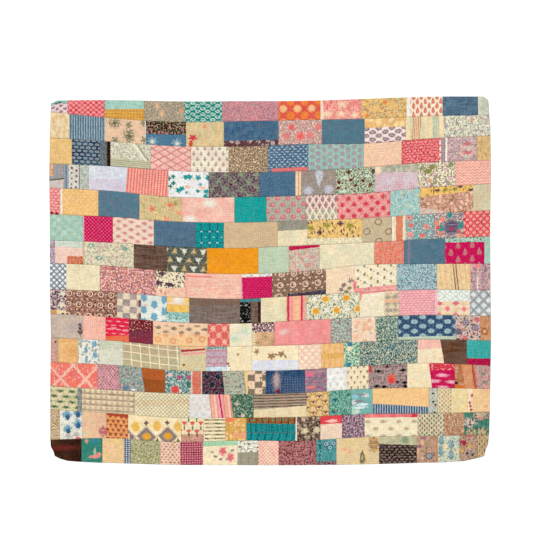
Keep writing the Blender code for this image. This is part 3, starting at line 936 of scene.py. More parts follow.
# %% Strip 6
sew(
    (21, d.mint_mint_aqua, slub(d.mint_sea, 0.4), mottle(d.ice, 4, 0.4),
        spots(d.sage_mint, (7, 2.75), (3.6, 2.5), box, start=(6, 80), soft=0.5, rag=0.2)),
    (39.5, d.fuchsia_magenta, mottle(d.fuchsia, 4, 0.6),
        spots(d.pink_magenta, (2.3, 1.15), (0.9, 0.7), rag=0.1), piece(d.candy, right=21.6)),
    (65, d.ecru_cream, checks(d.shell, 1.3),
        spots(d.rose_mauve, (8, 2.35), (3.4, 2.1), petals(6, 0.1), start=(51, 83.4), soft=0.4, rag=0.4),
        spots(d.coral_rose, (8, 2.35), (1.6, 1), start=(51, 83.4), soft=0.5)),
    (91, d.denim_denim_slate, slub(d.ink, 0.3), mottle(d.blue_slate, 5)),
    (108.5, d.turquoise_teal, slub(d.teal, 0.6),
        dabs(d.royal_teal, (0.8, 19), box, (94.5, 86.5), (99.7, 86.5), (104.5, 86.5)),
        dabs(d.navy_teal, (19, 0.6), box, (99.7, 84.5), (99.7, 91.5)),
        dabs(d.aqua_ice, (1.3, 0.9), disc, (94.5, 84.5), (99.7, 84.5), (104.5, 84.5), (94.5, 91.5),
            (99.7, 91.5), (104.5, 91.5), soft=0.4),
        dabs(d.aqua, (1.1, 0.8), disc, (97, 88), (102, 88), (107, 88), soft=0.4)),
    (142, d.khaki_biscuit, checks(d.tan_khaki, 1.3, 0.45), mottle(d.peach_tan, 7, 0.4)),
    (160.5, d.ecru_cream, mottle(d.celery, 6), slub(d.straw, 0.4),
        piece(d.sage_grey, worms(d.taupe_moss, 1.5, 1.1), mottle(d.mauve, 3, 0.3), bottom=(84.2, 83))),
    (194.5, d.yellow_honey, leaves(d.olive_tan, 3, 0.75, 1.1, 0.46), mottle(d.straw_honey, 3, 0.4),
        leaves(d.umber_plum, 2.6, 0.4, 0.8, 0.42, 12),
        dabs(d.olive, (5, 3.6), petals(5), (162.5, 82.4), (172.5, 80.6), (187, 81), rag=0.5),
        dabs(d.plum_umber, (4, 3), petals(4), (168, 85), (181, 79.5), rag=0.5),
        piece(d.cream, spots(d.khaki_straw, (4.4, 2.4), (2.4, 1.8), frame_box), mottle(d.celery, 5),
            top=(88.8, 88))),
    (213, d.khaki_biscuit_stone, slub(d.sand_sage), mottle(d.tan_khaki, 4, 0.4),
        dabs(d.taupe_tan_umber, (4.6, 4.4), hoop, (204.5, 78.5), (197.4, 84.5), (205, 90.5), (211, 84.5),
            rag=0.4)),
    (221.5, d.milk_cream, stripes(d.straw, 3, 0.5),
        piece(d.coral_tan_orange, mottle(d.salmon_tan), specks(d.brick_coral, 1.1, 0.1), left=215.4,
            right=219.8)),
    (239, d.aqua_sea, mottle(d.sea_slate, 2.4, 0.4), specks(d.grape_stone, 1.2),
        specks(d.milk_sky, 1.1, 0.22, 6), leaves(d.leaf_teal, 2, 0.4),
        dabs(d.pink_salmon, (4.8, 4), petals(5), (223.4, 75.8), (234.4, 81.6), (224.2, 86.4), rag=0.3),
        dabs(d.coral, (3.8, 3.4), petals(5), (225, 80.6), (232, 87), rag=0.3),
        dabs(d.maroon_rose, (1.4, 1.2), disc, (223.4, 75.8), (234.4, 81.6))),
    (257.5, d.plum_slate_mauve, mottle(d.taupe_teal, 2.4), specks(d.rose_peach, 1.2),
        specks(d.milk_mint, 1.1, 0.12, 6),
        dabs(d.teal_sea, (4, 5), leaf, (243.6, 82.4), (256, 80.6), (249, 74), rag=0.4),
        dabs(d.plum_slate, (9.6, 9.4), disc, (250, 81.8), rag=0.1),
        dabs(d.navy_plum, (7, 0.9), leaf, (250, 79.4), (250, 81.2), (250, 84.4)),
        dabs(d.slate_mauve, (6.4, 0.8), leaf, (250, 80.2), (250, 85.4)),
        dabs(d.magenta_plum, (3.2, 2.2), disc, (250, 82.8), soft=0.5),
        dabs(d.orange_salmon, (3.4, 3), petals(5), (243.4, 85.4), (240.8, 79.4), (255.6, 86.8), (244.4, 77),
            rag=0.4), dabs(d.red_brick, (2.4, 2), disc, (254.6, 84.6), (241.6, 82))),
    (END, d.red_coral, specks(d.maroon_crimson, 1, 0.2), mottle(d.coral, 4, 0.4),
        spots(d.pink_shell, (4.1, 2.05), (1.9, 1.7), start=(262, 79), rag=0.1),
        spots(d.coral, (4.1, 2.05), (0.8, 0.7), start=(262, 79), soft=0.4)),
)

# %% [markdown]
# Strip 7 has paisleys on cream, maroon and green cloths, plain marigold, and paisleys on magenta.

# %% Strip 7
sew(
    (3.5, d.mauve_grey, mottle(d.maroon_mauve, 3, 0.6), worms(d.lilac, 2, 0.8)),
    (21, d.shell_cream, checks(d.pink_shell, 1.2, 0.45, 0.45), mottle(d.shell, 7, 0.4),
        piece(d.celery_ice, slub(d.sage, 0.3), bottom=(93.7, 94.8)),
        piece(d.apricot_brick, checks(d.brick, 1.9), specks(d.rust, 1.2, 0.2), top=99.6, left=11)),
    (52.5, d.ecru_celery, leaves(d.sage_stone, 3, 0.8, 1.2, 0.5), florets(d.blush_stone, 3.4, 0.4, 3, 0.44),
        mottle(d.cream), specks(d.sage_grey, 1.2, 0.14),
        dabs(d.sea_sage, (4.4, 3), leaf, (26, 93.2), (31, 101), (47, 95), rag=0.5),
        dabs(d.milk, (1.4, 1), disc, (26, 93.2), (31, 101)), piece(d.olive_straw, right=(21.9, 21.3))),
    (73, d.umber_brown_taupe, mottle(d.bark_umber, (16, 3), 0.6), mottle(d.taupe_brown, (12, 1.4), 0.4, 6),
        slub(d.bark)),
    (98, d.bottle_umber_taupe, mottle(d.green_slate_umber, 5, 0.7), specks(d.bark_bottle, 1.1, 0.2),
        spots(d.olive_sand, (11.8, 5.4), (4, 3.7), triangle, 0.25, (78, 96.2), rag=0.3),
        spots(d.milk_celery, (11.8, 5.4), (4, 3.7), lambda x, y: triangle(x, y * -1), 0.25, (83.8, 97.2),
            rag=0.3), spots(d.peach_tan, (11.8, 5.4), (1.5, 1.3), disc, 0.25, (78, 96.9))),
    (130, d.marigold, slub(d.marigold_gold), mottle(d.orange_marigold, 7, 0.35)),
    (149, d.mint_celery, slub(d.celery_sage, 0.6), mottle(d.straw_mint, 5, 0.4)),
    (168, d.stone_mint, florets(d.rose_tan, 2.4, 0.6, 5, 0.5), mottle(d.shell, 3, 0.6),
        specks(d.tan_rose, 1.1, 0.24), leaves(d.moss_stone, 2, 0.3),
        dabs(d.coral_stone, (3, 2.6), petals(5), (154.6, 108.4), (161.6, 105), (163, 100.4)),
        piece(d.magenta_crimson, mottle(d.crimson, 4), bottom=(96.4, 94))),
    (202, d.ecru_ivory, slub(d.straw, 0.35), mottle(d.cream, 6, 0.6), mottle(d.celery, 9, 0.4, 7)),
    (220.5, d.coral_orange_salmon, mottle(d.salmon_pink, 2.6, 0.6), mottle(d.rust_orange, 2, 0.4, 5),
        specks(d.brick_coral, 1.1, 0.16), specks(d.peach_taupe, 1.1, 0.14, 6)),
    (246, d.denim, slub(d.slate_teal), mottle(d.slate, 6),
        piece(d.slate_slate_mauve, slub(d.denim, 0.4), left=222.6, right=224.4)),
    (270.5, d.fuchsia_magenta, mottle(d.magenta_crimson, (8, 3), 0.6),
        spots(d.rose_mauve, (8.8, 4.3), (3.2, 4.2), drop, start=(258.5, 97), soft=0.4, rag=0.3),
        spots(d.crimson_tan, (8.8, 4.3), (1.8, 2.6), drop, start=(258.5, 97.2), soft=0.5, rag=0.2),
        piece(d.aqua_celery, specks(d.green, 1.1, 0.16), bottom=(91.2, 91))),
    (END, d.mint, mottle(d.aqua), mottle(d.stone, 2, 0.4, 4)),
)

# %% [markdown]
# Strip 8: diamonds on grey, a red tangle, plain salmon and magenta, white rings on brown, blue scales.

# %% Strip 8
sew(
    (10.5, d.ash_sky_grey, lattice(d.slate_plum, (3.6, 3.6), 0.7, (6.5, 107.5)),
        spots(d.white, (3.6, 1.8), (2, 1.9), diamond, start=(6.5, 107.5), soft=0.3, rag=0.1),
        mottle(d.ash, 4, 0.3)),
    (31.5, d.ivory_cream, slub(d.straw, 0.35), mottle(d.celery_straw, 6)),
    (66.5, d.salmon_blush, mottle(d.rose_blush, (4, 9)), worms(d.maroon_mauve, 2.3, 1),
        worms(d.crimson_rose, 2, 0.5, 14), specks(d.rust_olive, 1.2, 0.1), specks(d.shell, 1.2, 0.2, 8)),
    (84.5, d.cream, leaves(d.plum_grey, 3.4, 0.7, 1.4, 0.46), mottle(d.ecru_sage, 2.4, 0.4),
        specks(d.black_plum, 1.2, 0.16),
        dabs(d.bark_plum, (5.4, 2.6), leaf, (75, 117.6), (67.6, 116), (70, 110.6), rag=0.6),
        piece(d.peach, florets(d.apricot, 3, 0.5),
            dabs(d.brick_tan, (2, 2.6), petals(4), (69.4, 121.6), (72, 123), rag=0.4), slub(d.shell, 0.4),
            top=(119.8, 119.4))),
    (119.5, d.peach_shell, mottle(d.salmon_peach, (9, 1.1), 0.8),
        stripes(d.salmon, 5.2, 0.4, level=True, amount=0.4),
        piece(d.salmon_peach, slub(d.pink, 0.4), right=86),
        dabs(d.pink_coral, (16, 0.9), box, (93, 112.4))),
    (138.5, d.fuchsia, mottle(d.magenta, 4, 0.4), slub(d.crimson),
        spots(d.cerise_magenta, (2.1, 1.3), (1, 0.8), soft=0.4), piece(d.candy, right=(119.6, 120.2)),
        piece(d.milk, florets(d.lilac, 2, 0.7), bottom=(113, 112.2))),
    (172, d.brown_taupe, mottle(d.umber_tan, 4), specks(d.umber_brown, 1, 0.16),
        spots(d.shell_peach, (7.8, 6.9), (3.9, 3.7), hoop, 0.1, (144.4, 111), rag=0.05),
        spots(d.shell_tan, (3.9, 3.4), (1.5, 1.4), disc, 0.5, (142.4, 114.4)),
        piece(d.plum_black, mottle(d.slate_plum, 3, 0.6), specks(d.ink, 1), top=(123.8, 120.6), left=148)),
    (190, d.cream_peach, mottle(d.ecru, (6, 2), 0.6),
        dabs(d.taupe_plum, (3.6, 3), petals(5), (183, 117.8), (187.4, 115), (181.4, 120.6)),
        leaves(d.stone_cream, 2.6, 0.2), dabs(d.taupe_moss, (3, 2.4), leaf, (186.6, 119.6), (184.6, 121.8)),
        dabs(d.pink_coral, (4, 8.4), hanging_drop, (190.2, 118.6)),
        dabs(d.cerise_pink, (2, 5), leaf, (190.2, 118.6))),
    (216, d.cream, mottle(d.milk, 5),
        spots(d.taupe_olive, (8.2, 2.55), (1.8, 2.4), petals(5, 0.2), start=(196, 111), rag=0.4),
        spots(d.stone_olive, (8.2, 2.55), (0.9, 0.8), start=(197.6, 112)),
        piece(d.pink_salmon, mottle(d.shell, 4), specks(d.brown_pink, 1.6, 0.07), top=(120, 117.6)),
        dabs(d.pink_coral, (3.8, 8), hanging_drop, (189.8, 118.6), rag=0.3)),
    (241, d.aqua_sky_ice, leaves(d.ice_aqua_sky, 1.8, 0.9, 1.2, 0.5), mottle(d.blue_sky, 4),
        worms(d.slate_sea, 1.5, 1), specks(d.ice_sky, 1.1, 0.16), specks(d.stone, 1.1, 0.12, 7)),
    (262, d.straw_honey, stripes(d.tan_apricot, 3.1, 0.6, -0.1),
        stripes(d.olive_cream, 2.1, 0.35, -0.1, start=1),
        stripes(d.apricot, 7, 1, -0.1, start=2, amount=0.8), mottle(d.cream, 4, 0.3),
        stripes(d.umber, 40, 0.5, -0.11, start=-10.1), stripes(d.umber, 40, 0.5, -0.11, start=-8.4)),
    (END, d.stone_mauve, florets(d.mauve_plum, 2.6, 0.6), mottle(d.blush, 3, 0.6),
        specks(d.maroon_mauve, 1.2, 0.2), dabs(d.coral_pink, (5, 3), petals(5), (266, 106)),
        dabs(d.shell_white, (0.9, 8), box, (266.2, 116))),
)

# %% [markdown]
# Strip 9: more white rings, a cloth of tulips, grey tweed, pink and crimson stripes, yellow flowers.

# %% Strip 9
sew(
    (10.5, d.mauve_stone, florets(d.shell, 2.2, 0.5), specks(d.plum_ink, 1.3, 0.4),
        dabs(d.ivory, (4.4, 3.6), petals(5), (8.2, 123), (7.4, 130), rag=0.5),
        piece(d.ecru, mottle(d.yellow, 2, 0.4), piece(d.gold_tan, right=4.6), top=133.3),
        dabs(d.bark, (1.6, 1), disc, (8.4, 135.4))),
    (42, d.umber_tan_rose, mottle(d.umber_taupe, 3, 0.6), specks(d.umber, 1.1, 0.24),
        spots(d.umber, (6.6, 6.7), (3.4, 3.2), disc, 0.06, (12.2, 122.8)),
        spots(d.peach_shell, (6.6, 6.7), (3.6, 3.4), hoop, 0.06, (12.2, 122.8)),
        spots(d.shell_tan, (3.3, 3.3), (1.1, 1.2), disc, 0.5, (10.4, 126))),
    (57, d.ecru_cream, checks(d.stone_ecru, 1.3, 0.5, 0.5),
        spots(d.grey_taupe, (8.7, 4.2), (4.5, 4.2), box, start=(52.2, 124.9), soft=0.1),
        mottle(d.shell, 4, 0.3), dabs(d.plum_brown, (2, 4), box, (56.4, 129), (56.6, 137), rag=0.4)),
    (73, d.ice_milk, mottle(d.celery, 4, 0.4),
        spots(d.sky_blue, (13, 3.8), (5.6, 5.2), tulip, start=(65.2, 130), rag=0.1),
        dabs(d.sky_blue, (3.4, 4.6), drop, (71, 127), (71, 134.6), rag=0.2),
        dabs(d.apricot, (1.6, 1), disc, (60, 130.2))),
    (87, d.straw_peach, mottle(d.cream), dabs(d.milk, (5.4, 5), disc, (80, 127), soft=0.5, rag=0.4),
        dabs(d.yellow, (4, 4), disc, (74.6, 126), (86, 127), soft=0.4),
        piece(d.yellow, mottle(d.gold, 3, 0.6), top=130),
        piece(d.mint_aqua, specks(d.teal_sea), spots(d.teal, (3.8, 2), (2, 1.2), ring, 0, (79, 136.6)),
            mottle(d.ice, 3, 0.4), top=134.6), piece(d.ice_mint, specks(d.sea, 1.1, 0.2), top=138.6)),
    (118.5, d.taupe_umber, slub(d.brown, 0.6), mottle(d.umber_taupe, 4),
        piece(d.grey_umber_taupe, slub(d.umber, 0.6), mottle(d.taupe, 5, 0.3), top=(130.4, 130))),
    (131.5, d.taupe_grey, worms(d.black, 2, 2), piece(d.umber_taupe, slub(d.bark), left=125.2),
        piece(d.black, slub(d.maroon, 0.3), left=129.8),
        piece(d.teal_slate, mottle(d.sea, 2.4), top=125.8, bottom=(128.4, 128))),
    (147.5, d.ivory_cream, mottle(d.straw, 5, 0.6), mottle(d.celery, 7, 0.4, 6), slub(d.straw, 0.3)),
    (160, d.apricot, stripes(d.straw_apricot, 3, 0.8, start=2.5), stripes(d.salmon, 8.4, 3.2, start=-1.6),
        stripes(d.pink, 8.4, 3, start=-2.2), stripes(d.crimson_red, 8.4, 1.3, start=-3.2),
        piece(d.tan_shell, left=158.8)),
    (193, d.celery_straw, leaves(d.leaf_bottle, 3, 0.9, 1.6, 0.46),
        leaves(d.slate_leaf, 2.2, 0.7, 0.8, 0.44, 12), specks(d.milk, 1.2, 0.26),
        spots(d.yellow, (13, 7.2), (5, 4.8), petals(6, 0.12), 0.46, (171.6, 126.5), rag=0.4),
        spots(d.marigold_gold, (13, 7.2), (3.4, 3.2), disc, 0.46, (171.6, 126.5), rag=0.3),
        spots(d.milk, (13, 7.2), (3.6, 3.2), petals(5), 0.46, (165.2, 126.8), rag=0.4)),
    (208.5, d.cream_ivory, mottle(d.milk, 6), slub(d.straw, 0.2), piece(d.salmon_pink, bottom=(123.6, 122)),
        piece(d.salmon, right=(194.4, 193.4), bottom=127)),
    (217.5, d.straw_cream,
        spots(d.taupe_sage, (4.5, 4.1), (3.5, 2.7), disc, 0, (210.4, 125.4), soft=0.7, rag=0.3),
        dabs(d.apricot, (9, 1.8), box, (213, 127.6)), specks(d.mauve, 1.6, 0.1),
        piece(d.cream_cream_salmon, bottom=122.6)),
    (239.5, d.candy_rose, mottle(d.pink_candy, 8, 0.3), stripes(d.rose_candy, 1.5, 0.5, lean=0.6),
        spots(d.shell, (2.6, 1.5), (2, 0.8), leaf, soft=0.4, rag=0.4),
        spots(d.cerise_candy, (2.6, 1.5), (1.5, 0.6), leaf, start=(219, 123.4), soft=0.4, rag=0.4),
        slub(d.pink, 0.3)),
    (261.5, d.shell_cream,
        spots(d.red_pink, (10.4, 3.6), (4, 3.8), diamond, 0.5, (247.4, 132.4), soft=0.4, rag=0.3),
        spots(d.straw, (10.4, 3.6), (5.2, 3), disc, 0.5, (242.4, 132.6), soft=0.5),
        dabs(d.crimson_pink, (5, 2.2), petals(5), (243, 129.4), (253, 129), rag=0.3),
        piece(d.milk, lattice(d.aqua_ash, (6.8, 6), 0.6, (242.4, 124.6)),
            spots(d.ice_aqua, (6.8, 3), (2.4, 2), diamond, start=(242.4, 124.6), soft=0.5),
            mottle(d.ice, 3, 0.4), bottom=(128.2, 127.6)), piece(d.candy_shell, right=241.4)),
    (END, d.milk_ash, mottle(d.celery, 4, 0.4), lattice(d.slate_grey, (6.2, 6.4), 0.9, (270, 124)),
        spots(d.slate_ash, (6.2, 3.2), (4.2, 4.3), diamond, start=(270, 124), rag=0.2),
        spots(d.white, (6.2, 3.2), (3, 3.1), diamond, start=(270, 124), rag=0.2),
        spots(d.sky_ash, (6.2, 3.2), (1.3, 1.3), diamond, start=(270, 124), rag=0.2)),
)

# %% [markdown]
# Strip 10: taupe with one dark sprig, crimson over orange, ovals on peach, a coral weave, flowers on navy.

# %% Strip 10
sew(
    (21, d.stone, slub(d.taupe_stone, 0.4), mottle(d.shell_khaki, 6),
        dabs(d.umber_plum, (3.6, 8.6), sprig, (19.2, 145.6)),
        dabs(d.plum, (2.6, 2.6), petals(5), (19, 142.4))),
    (35, d.peach_blush, checks(d.apricot_salmon, 1.3, 0.45), mottle(d.shell, 6, 0.3)),
    (49.5, d.scarlet_crimson, mottle(d.scarlet, 4, 0.4),
        spots(d.candy, (5.2, 2.5), (3.2, 0.8), leaf, soft=0.4, rag=0.5),
        dabs(d.candy_pink, (4, 1.4), petals(5), (40, 144.6), (47, 146), soft=0.4, rag=0.4),
        piece(d.orange_coral, mottle(d.red_orange, 3, 0.6), top=(149.6, 149))),
    (64.5, d.maroon_plum, slub(d.umber_maroon), mottle(d.crimson_maroon, 5, 0.4),
        piece(d.maroon, slub(d.umber_maroon, 0.4), specks(d.stone_rose, 0.9, 0.12), bottom=(146.4, 146))),
    (98.5, d.peach_straw,
        spots(d.taupe_brown, (9.6, 2.35), (3.9, 2.1), petals(8, 0.06), start=(77.4, 144.8), rag=0.3),
        mottle(d.peach, 4, 0.3),
        piece(d.peach_yellow, mottle(d.peach),
            dabs(d.orange_tan, (4.4, 3.8), petals(6, 0.08), (67.4, 151.6), (77, 152.4), (87, 152.2),
                (95, 151.6), rag=0.3),
            dabs(d.apricot_honey, (2.8, 2.4), disc, (67.4, 151.6), (77, 152.4), (87, 152.2), (95, 151.6),
                soft=0.4),
            dabs(d.apricot_orange, (3.4, 2.4), disc, (72.2, 148.6), (82, 148.8), (91.4, 148.8), soft=0.5),
            top=(148, 148.6)), piece(d.peach, bottom=(142.4, 142.6))),
    (112, d.coral, slub(d.brick_coral),
        spots(d.brick_brick_red, (7.2, 4.1), (5.8, 6.8), diamond, start=(105.4, 149), rag=0.05),
        spots(d.salmon, (7.2, 4.1), (4.2, 5), diamond, start=(105.4, 149), rag=0.05),
        spots(d.peach, (7.2, 4.1), (2.6, 3.2), diamond, start=(105.4, 149), rag=0.05),
        lattice(d.shell_salmon, (7.2, 8.2), 0.6, (101.8, 149))),
    (126, d.ivory_cream, slub(d.straw, 0.4),
        dabs(d.mint_celery, (6, 5), petals(5, 0.1), (122, 146.4), (115.4, 151), soft=0.8, rag=0.5),
        mottle(d.milk, 5, 0.4)),
    (140, d.tan_apricot, mottle(d.salmon_tan, 3, 0.4),
        dabs(d.brown_tan, (4.8, 4.6), petals(6, 0.06), (129.6, 153.8), (134.4, 150), (139, 153), rag=0.2),
        dabs(d.tan_honey, (3.6, 3.4), disc, (129.6, 153.8), (134.4, 150), (139, 153)),
        dabs(d.brown_tan, (2.2, 2.4), leaf, (129.6, 153.8), (134.4, 150), (139, 153), rag=0.3),
        slub(d.straw, 0.4),
        piece(d.mauve_umber, specks(d.bark), specks(d.milk_blush, 1.2, 0.26, 6), bottom=(147.4, 146.6)),
        piece(d.ecru, stripes(d.tan, 1.6, 0.4, level=True), right=(127.6, 128.4), top=146)),
    (175, d.candy_coral_salmon, slub(d.coral_pink, 0.3), mottle(d.pink_peach, 6, 0.25),
        dabs(d.shell, (5, 3), disc, (145.6, 147), soft=0.7)),
    (188, d.sage_stone, specks(d.maroon_grey, 1.1, 0.34), mottle(d.slate_mauve),
        specks(d.mint, 1.2, 0.26, 7)),
    ((202.5, 203.5), d.shell_cream, florets(d.peach_tan, 4.4), mottle(d.peach, 4),
        dabs(d.apricot, (3.6, 3), petals(5), (192, 141.4), (196.4, 144.4), (191, 150), soft=0.6, rag=0.6),
        dabs(d.sage, (1.4, 1), disc, (200, 147.4), (190, 146.6))),
    (217, d.leaf_slate, leaves(d.mint_sage, 2, 0.9, 1.3, 0.5), specks(d.bottle, 1),
        specks(d.milk_sage, 1.1, 0.2, 6)),
    (252.5, d.navy, slub(d.denim, 0.4), specks(d.slate, 1, 0.12),
        spots(d.ash_sky, (10.3, 2.95), (4.5, 3.1), petals(9, 0.14), start=(227, 140.5), rag=0.2),
        spots(d.mint_slate, (10.3, 2.95), (1.8, 1.2), start=(227, 140.5)),
        piece(d.celery_mint, mottle(d.stone, 4), top=(150.2, 149.6))),
    (268, d.shell_stone, florets(d.rose, 2.2, 0.3), specks(d.plum_umber, 1.3, 0.24),
        dabs(d.plum_slate, (4.6, 4.2), petals(7, 0.1), (259, 141), (264.6, 144.4), (254.6, 146.6), rag=0.3),
        dabs(d.lilac_mauve, (2.6, 2.3), disc, (259, 141), (264.6, 144.4)),
        dabs(d.ink_plum, (1.4, 1.3), petals(4), (259, 141), (264.6, 144.4)),
        dabs(d.crimson_rose, (4.4, 3.4), petals(5), (258.4, 150.4), (266, 139.4), rag=0.3),
        leaves(d.moss_sage, 2, 0.4)),
    (END, d.tan_orange, mottle(d.tan_stone, 4),
        dabs(d.umber_brick, (4.4, 4.6), leaf, (270.6, 146.6), rag=0.3),
        dabs(d.honey_tan, (2.4, 2.8), leaf, (270.6, 146.6)), specks(d.maroon_tan, 1.2, 0.14)),
)
# %% [markdown]
# Strip 11: golden slub, blue tulips, a cream grid on sage, magenta check, green jaal, plain turquoise.

# %% Strip 11
sew(
    (5.5, d.rose_tan, mottle(d.rose, 3, 0.4), specks(d.stone), dabs(d.maroon, (1.3, 1.3), disc, (3.8, 153)),
        piece(d.sage, left=4.6, bottom=155)),
    (18, d.gold_apricot, slub(d.gold_tan), mottle(d.yellow_peach, 6)),
    (31, d.ivory_ice, dabs(d.sky_blue, (3.2, 5.2), drop, (22.8, 157.6), (23, 163.8)),
        dabs(d.blue_sky, (4, 4.4), tulip, (28, 154.6), (28.4, 161.4)),
        dabs(d.mauve_sky, (3, 1.8), petals(4), (23, 152.6)), florets(d.aqua_sage, 2, 0.3),
        specks(d.taupe, 1.8, 0.06)),
    (46, d.celery_milk, slub(d.ash, 0.3), mottle(d.shell_celery, 5),
        dabs(d.brick_stone, (2.2, 1.2), petals(4), (33.8, 156.6)),
        piece(d.celery, stripes(d.blush_mint, 1.6, 0.6, level=True), bottom=(158, 157.4))),
    (81, d.khaki_sage, slub(d.tan_sage, 0.4), mottle(d.khaki_khaki_tan, 5),
        piece(d.sand_taupe, mottle(d.khaki, 4), bottom=(161, 160)),
        stripes(d.cream, 5.75, 0.6, -0.07, start=1.6),
        stripes(d.cream, 4.75, 0.55, -0.05, level=True, start=1.2)),
    (97.5, d.straw_khaki, slub(d.straw, 0.3), mottle(d.celery, 5),
        piece(d.celery_sage, stripes(d.cream, 5, 0.6, level=True, start=1.8), right=84, bottom=160),
        dabs(d.brown, (1.5, 1.3), disc, (83.6, 167.4)),
        piece(d.pink, top=(160.4, 159), bottom=(161.6, 160.2), left=81.8, right=97),
        piece(d.red_maroon, top=(158, 157), bottom=(159.6, 158.2), left=82, right=96.8),
        piece(d.peach_yellow, mottle(d.orange_peach, 2, 0.4), bottom=(157.2, 156.6))),
    (110.5, d.candy_mauve, checks(d.lilac, 1.1, 0.5, 0.5),
        stripes(d.crimson_pink, 4, 0.9, level=True, start=0.6, amount=0.7), specks(d.sea_mauve, 1.1, 0.2),
        piece(d.sea_grey, specks(d.mint, 1), bottom=(157.8, 157.2)),
        piece(d.ice, mottle(d.sky, 2.4, 0.6), top=(168.8, 168.4))),
    (126, d.cream_ivory, slub(d.straw, 0.25), mottle(d.yellow_cream, 6, 0.4),
        dabs(d.brown_sand, (1.6, 1.4), disc, (117.3, 160.9)),
        dabs(d.maroon_brown, (1.2, 1.5), disc, (111.2, 166.6), (111.8, 168.4), (112.2, 170.2)),
        piece(d.white_cream, right=112.4, top=168.4)),
    (155, d.cream, slub(d.yellow_cream, 0.3),
        dabs(d.tan_brown, (3.4, 4), petals(5, 0.3), (124.6, 158), (129, 159), rag=0.4),
        dabs(d.tan_brown, (5.2, 4), petals(5), (138, 162), (144, 160.6), rag=0.4),
        dabs(d.tan_moss, (1.8, 2.2), leaf, (140.6, 161), (146.8, 162.2)),
        piece(d.lavender, mottle(d.milk, 4), top=(164.6, 164.2), left=(126, 125.6))),
    (169, d.shell_peach, checks(d.blush_shell, 1.4, 0.5, 0.4),
        spots(d.cream, (4.5, 2.25), (2.4, 2), start=(159.4, 158.6), soft=0.4)),
    (183, d.yellow_apricot_peach, stripes(d.gold, 3.5, 1.2, amount=0.5), slub(d.gold, 0.4),
        mottle(d.honey, 3, 0.3),
        piece(d.gold_honey, stripes(d.gold_tan, 1.8, 0.5), top=159.8, bottom=163.4),
        piece(d.straw_yellow, right=169.4)),
    (193, d.mint, leaves(d.leaf_green, 2.2, 0.8, 1.3), specks(d.cream, 1.2, 0.26),
        specks(d.green_leaf, 1.2, 0.3, 5),
        dabs(d.blue_teal, (3.4, 3.6), leaf, (187, 154.6), (186.2, 167.4), rag=0.5),
        dabs(d.cream, (4, 3), petals(5), (186.6, 157.2), rag=0.5)),
    (229, d.bottle_leaf_slate, leaves(d.cream_sage, 1.7, 0.95, 1.4, 0.48), specks(d.ink, 1.1, 0.24),
        specks(d.cream_celery, 1.1, 0.14, 6), mottle(d.teal_slate, (14, 4)),
        leaves(d.milk_sage, 1.5, 0.4, 0.6, 0.4, 14)),
    ((243, 245.5), d.ivory_cream, slub(d.straw, 0.25), mottle(d.peach, 5, 0.3),
        piece(d.blush_peach, slub(d.pink, 0.3), bottom=(157.8, 157))),
    (259.5, d.umber_brown, slub(d.bark), mottle(d.taupe_umber, (14, 3), 0.4),
        dabs(d.coral_stone, (3.4, 3.4), disc, (243.2, 162), soft=0.4)),
    (END, d.turquoise, mottle(d.sea_turquoise, 3, 0.3), slub(d.mint_sea, 0.3),
        piece(d.magenta_maroon, slub(d.crimson), top=(163.2, 163.4))),
)

# %% [markdown]
# Strip 12: a brushed coral lattice, rust, one red flower on teal, a band of coral, navy, and a buti.

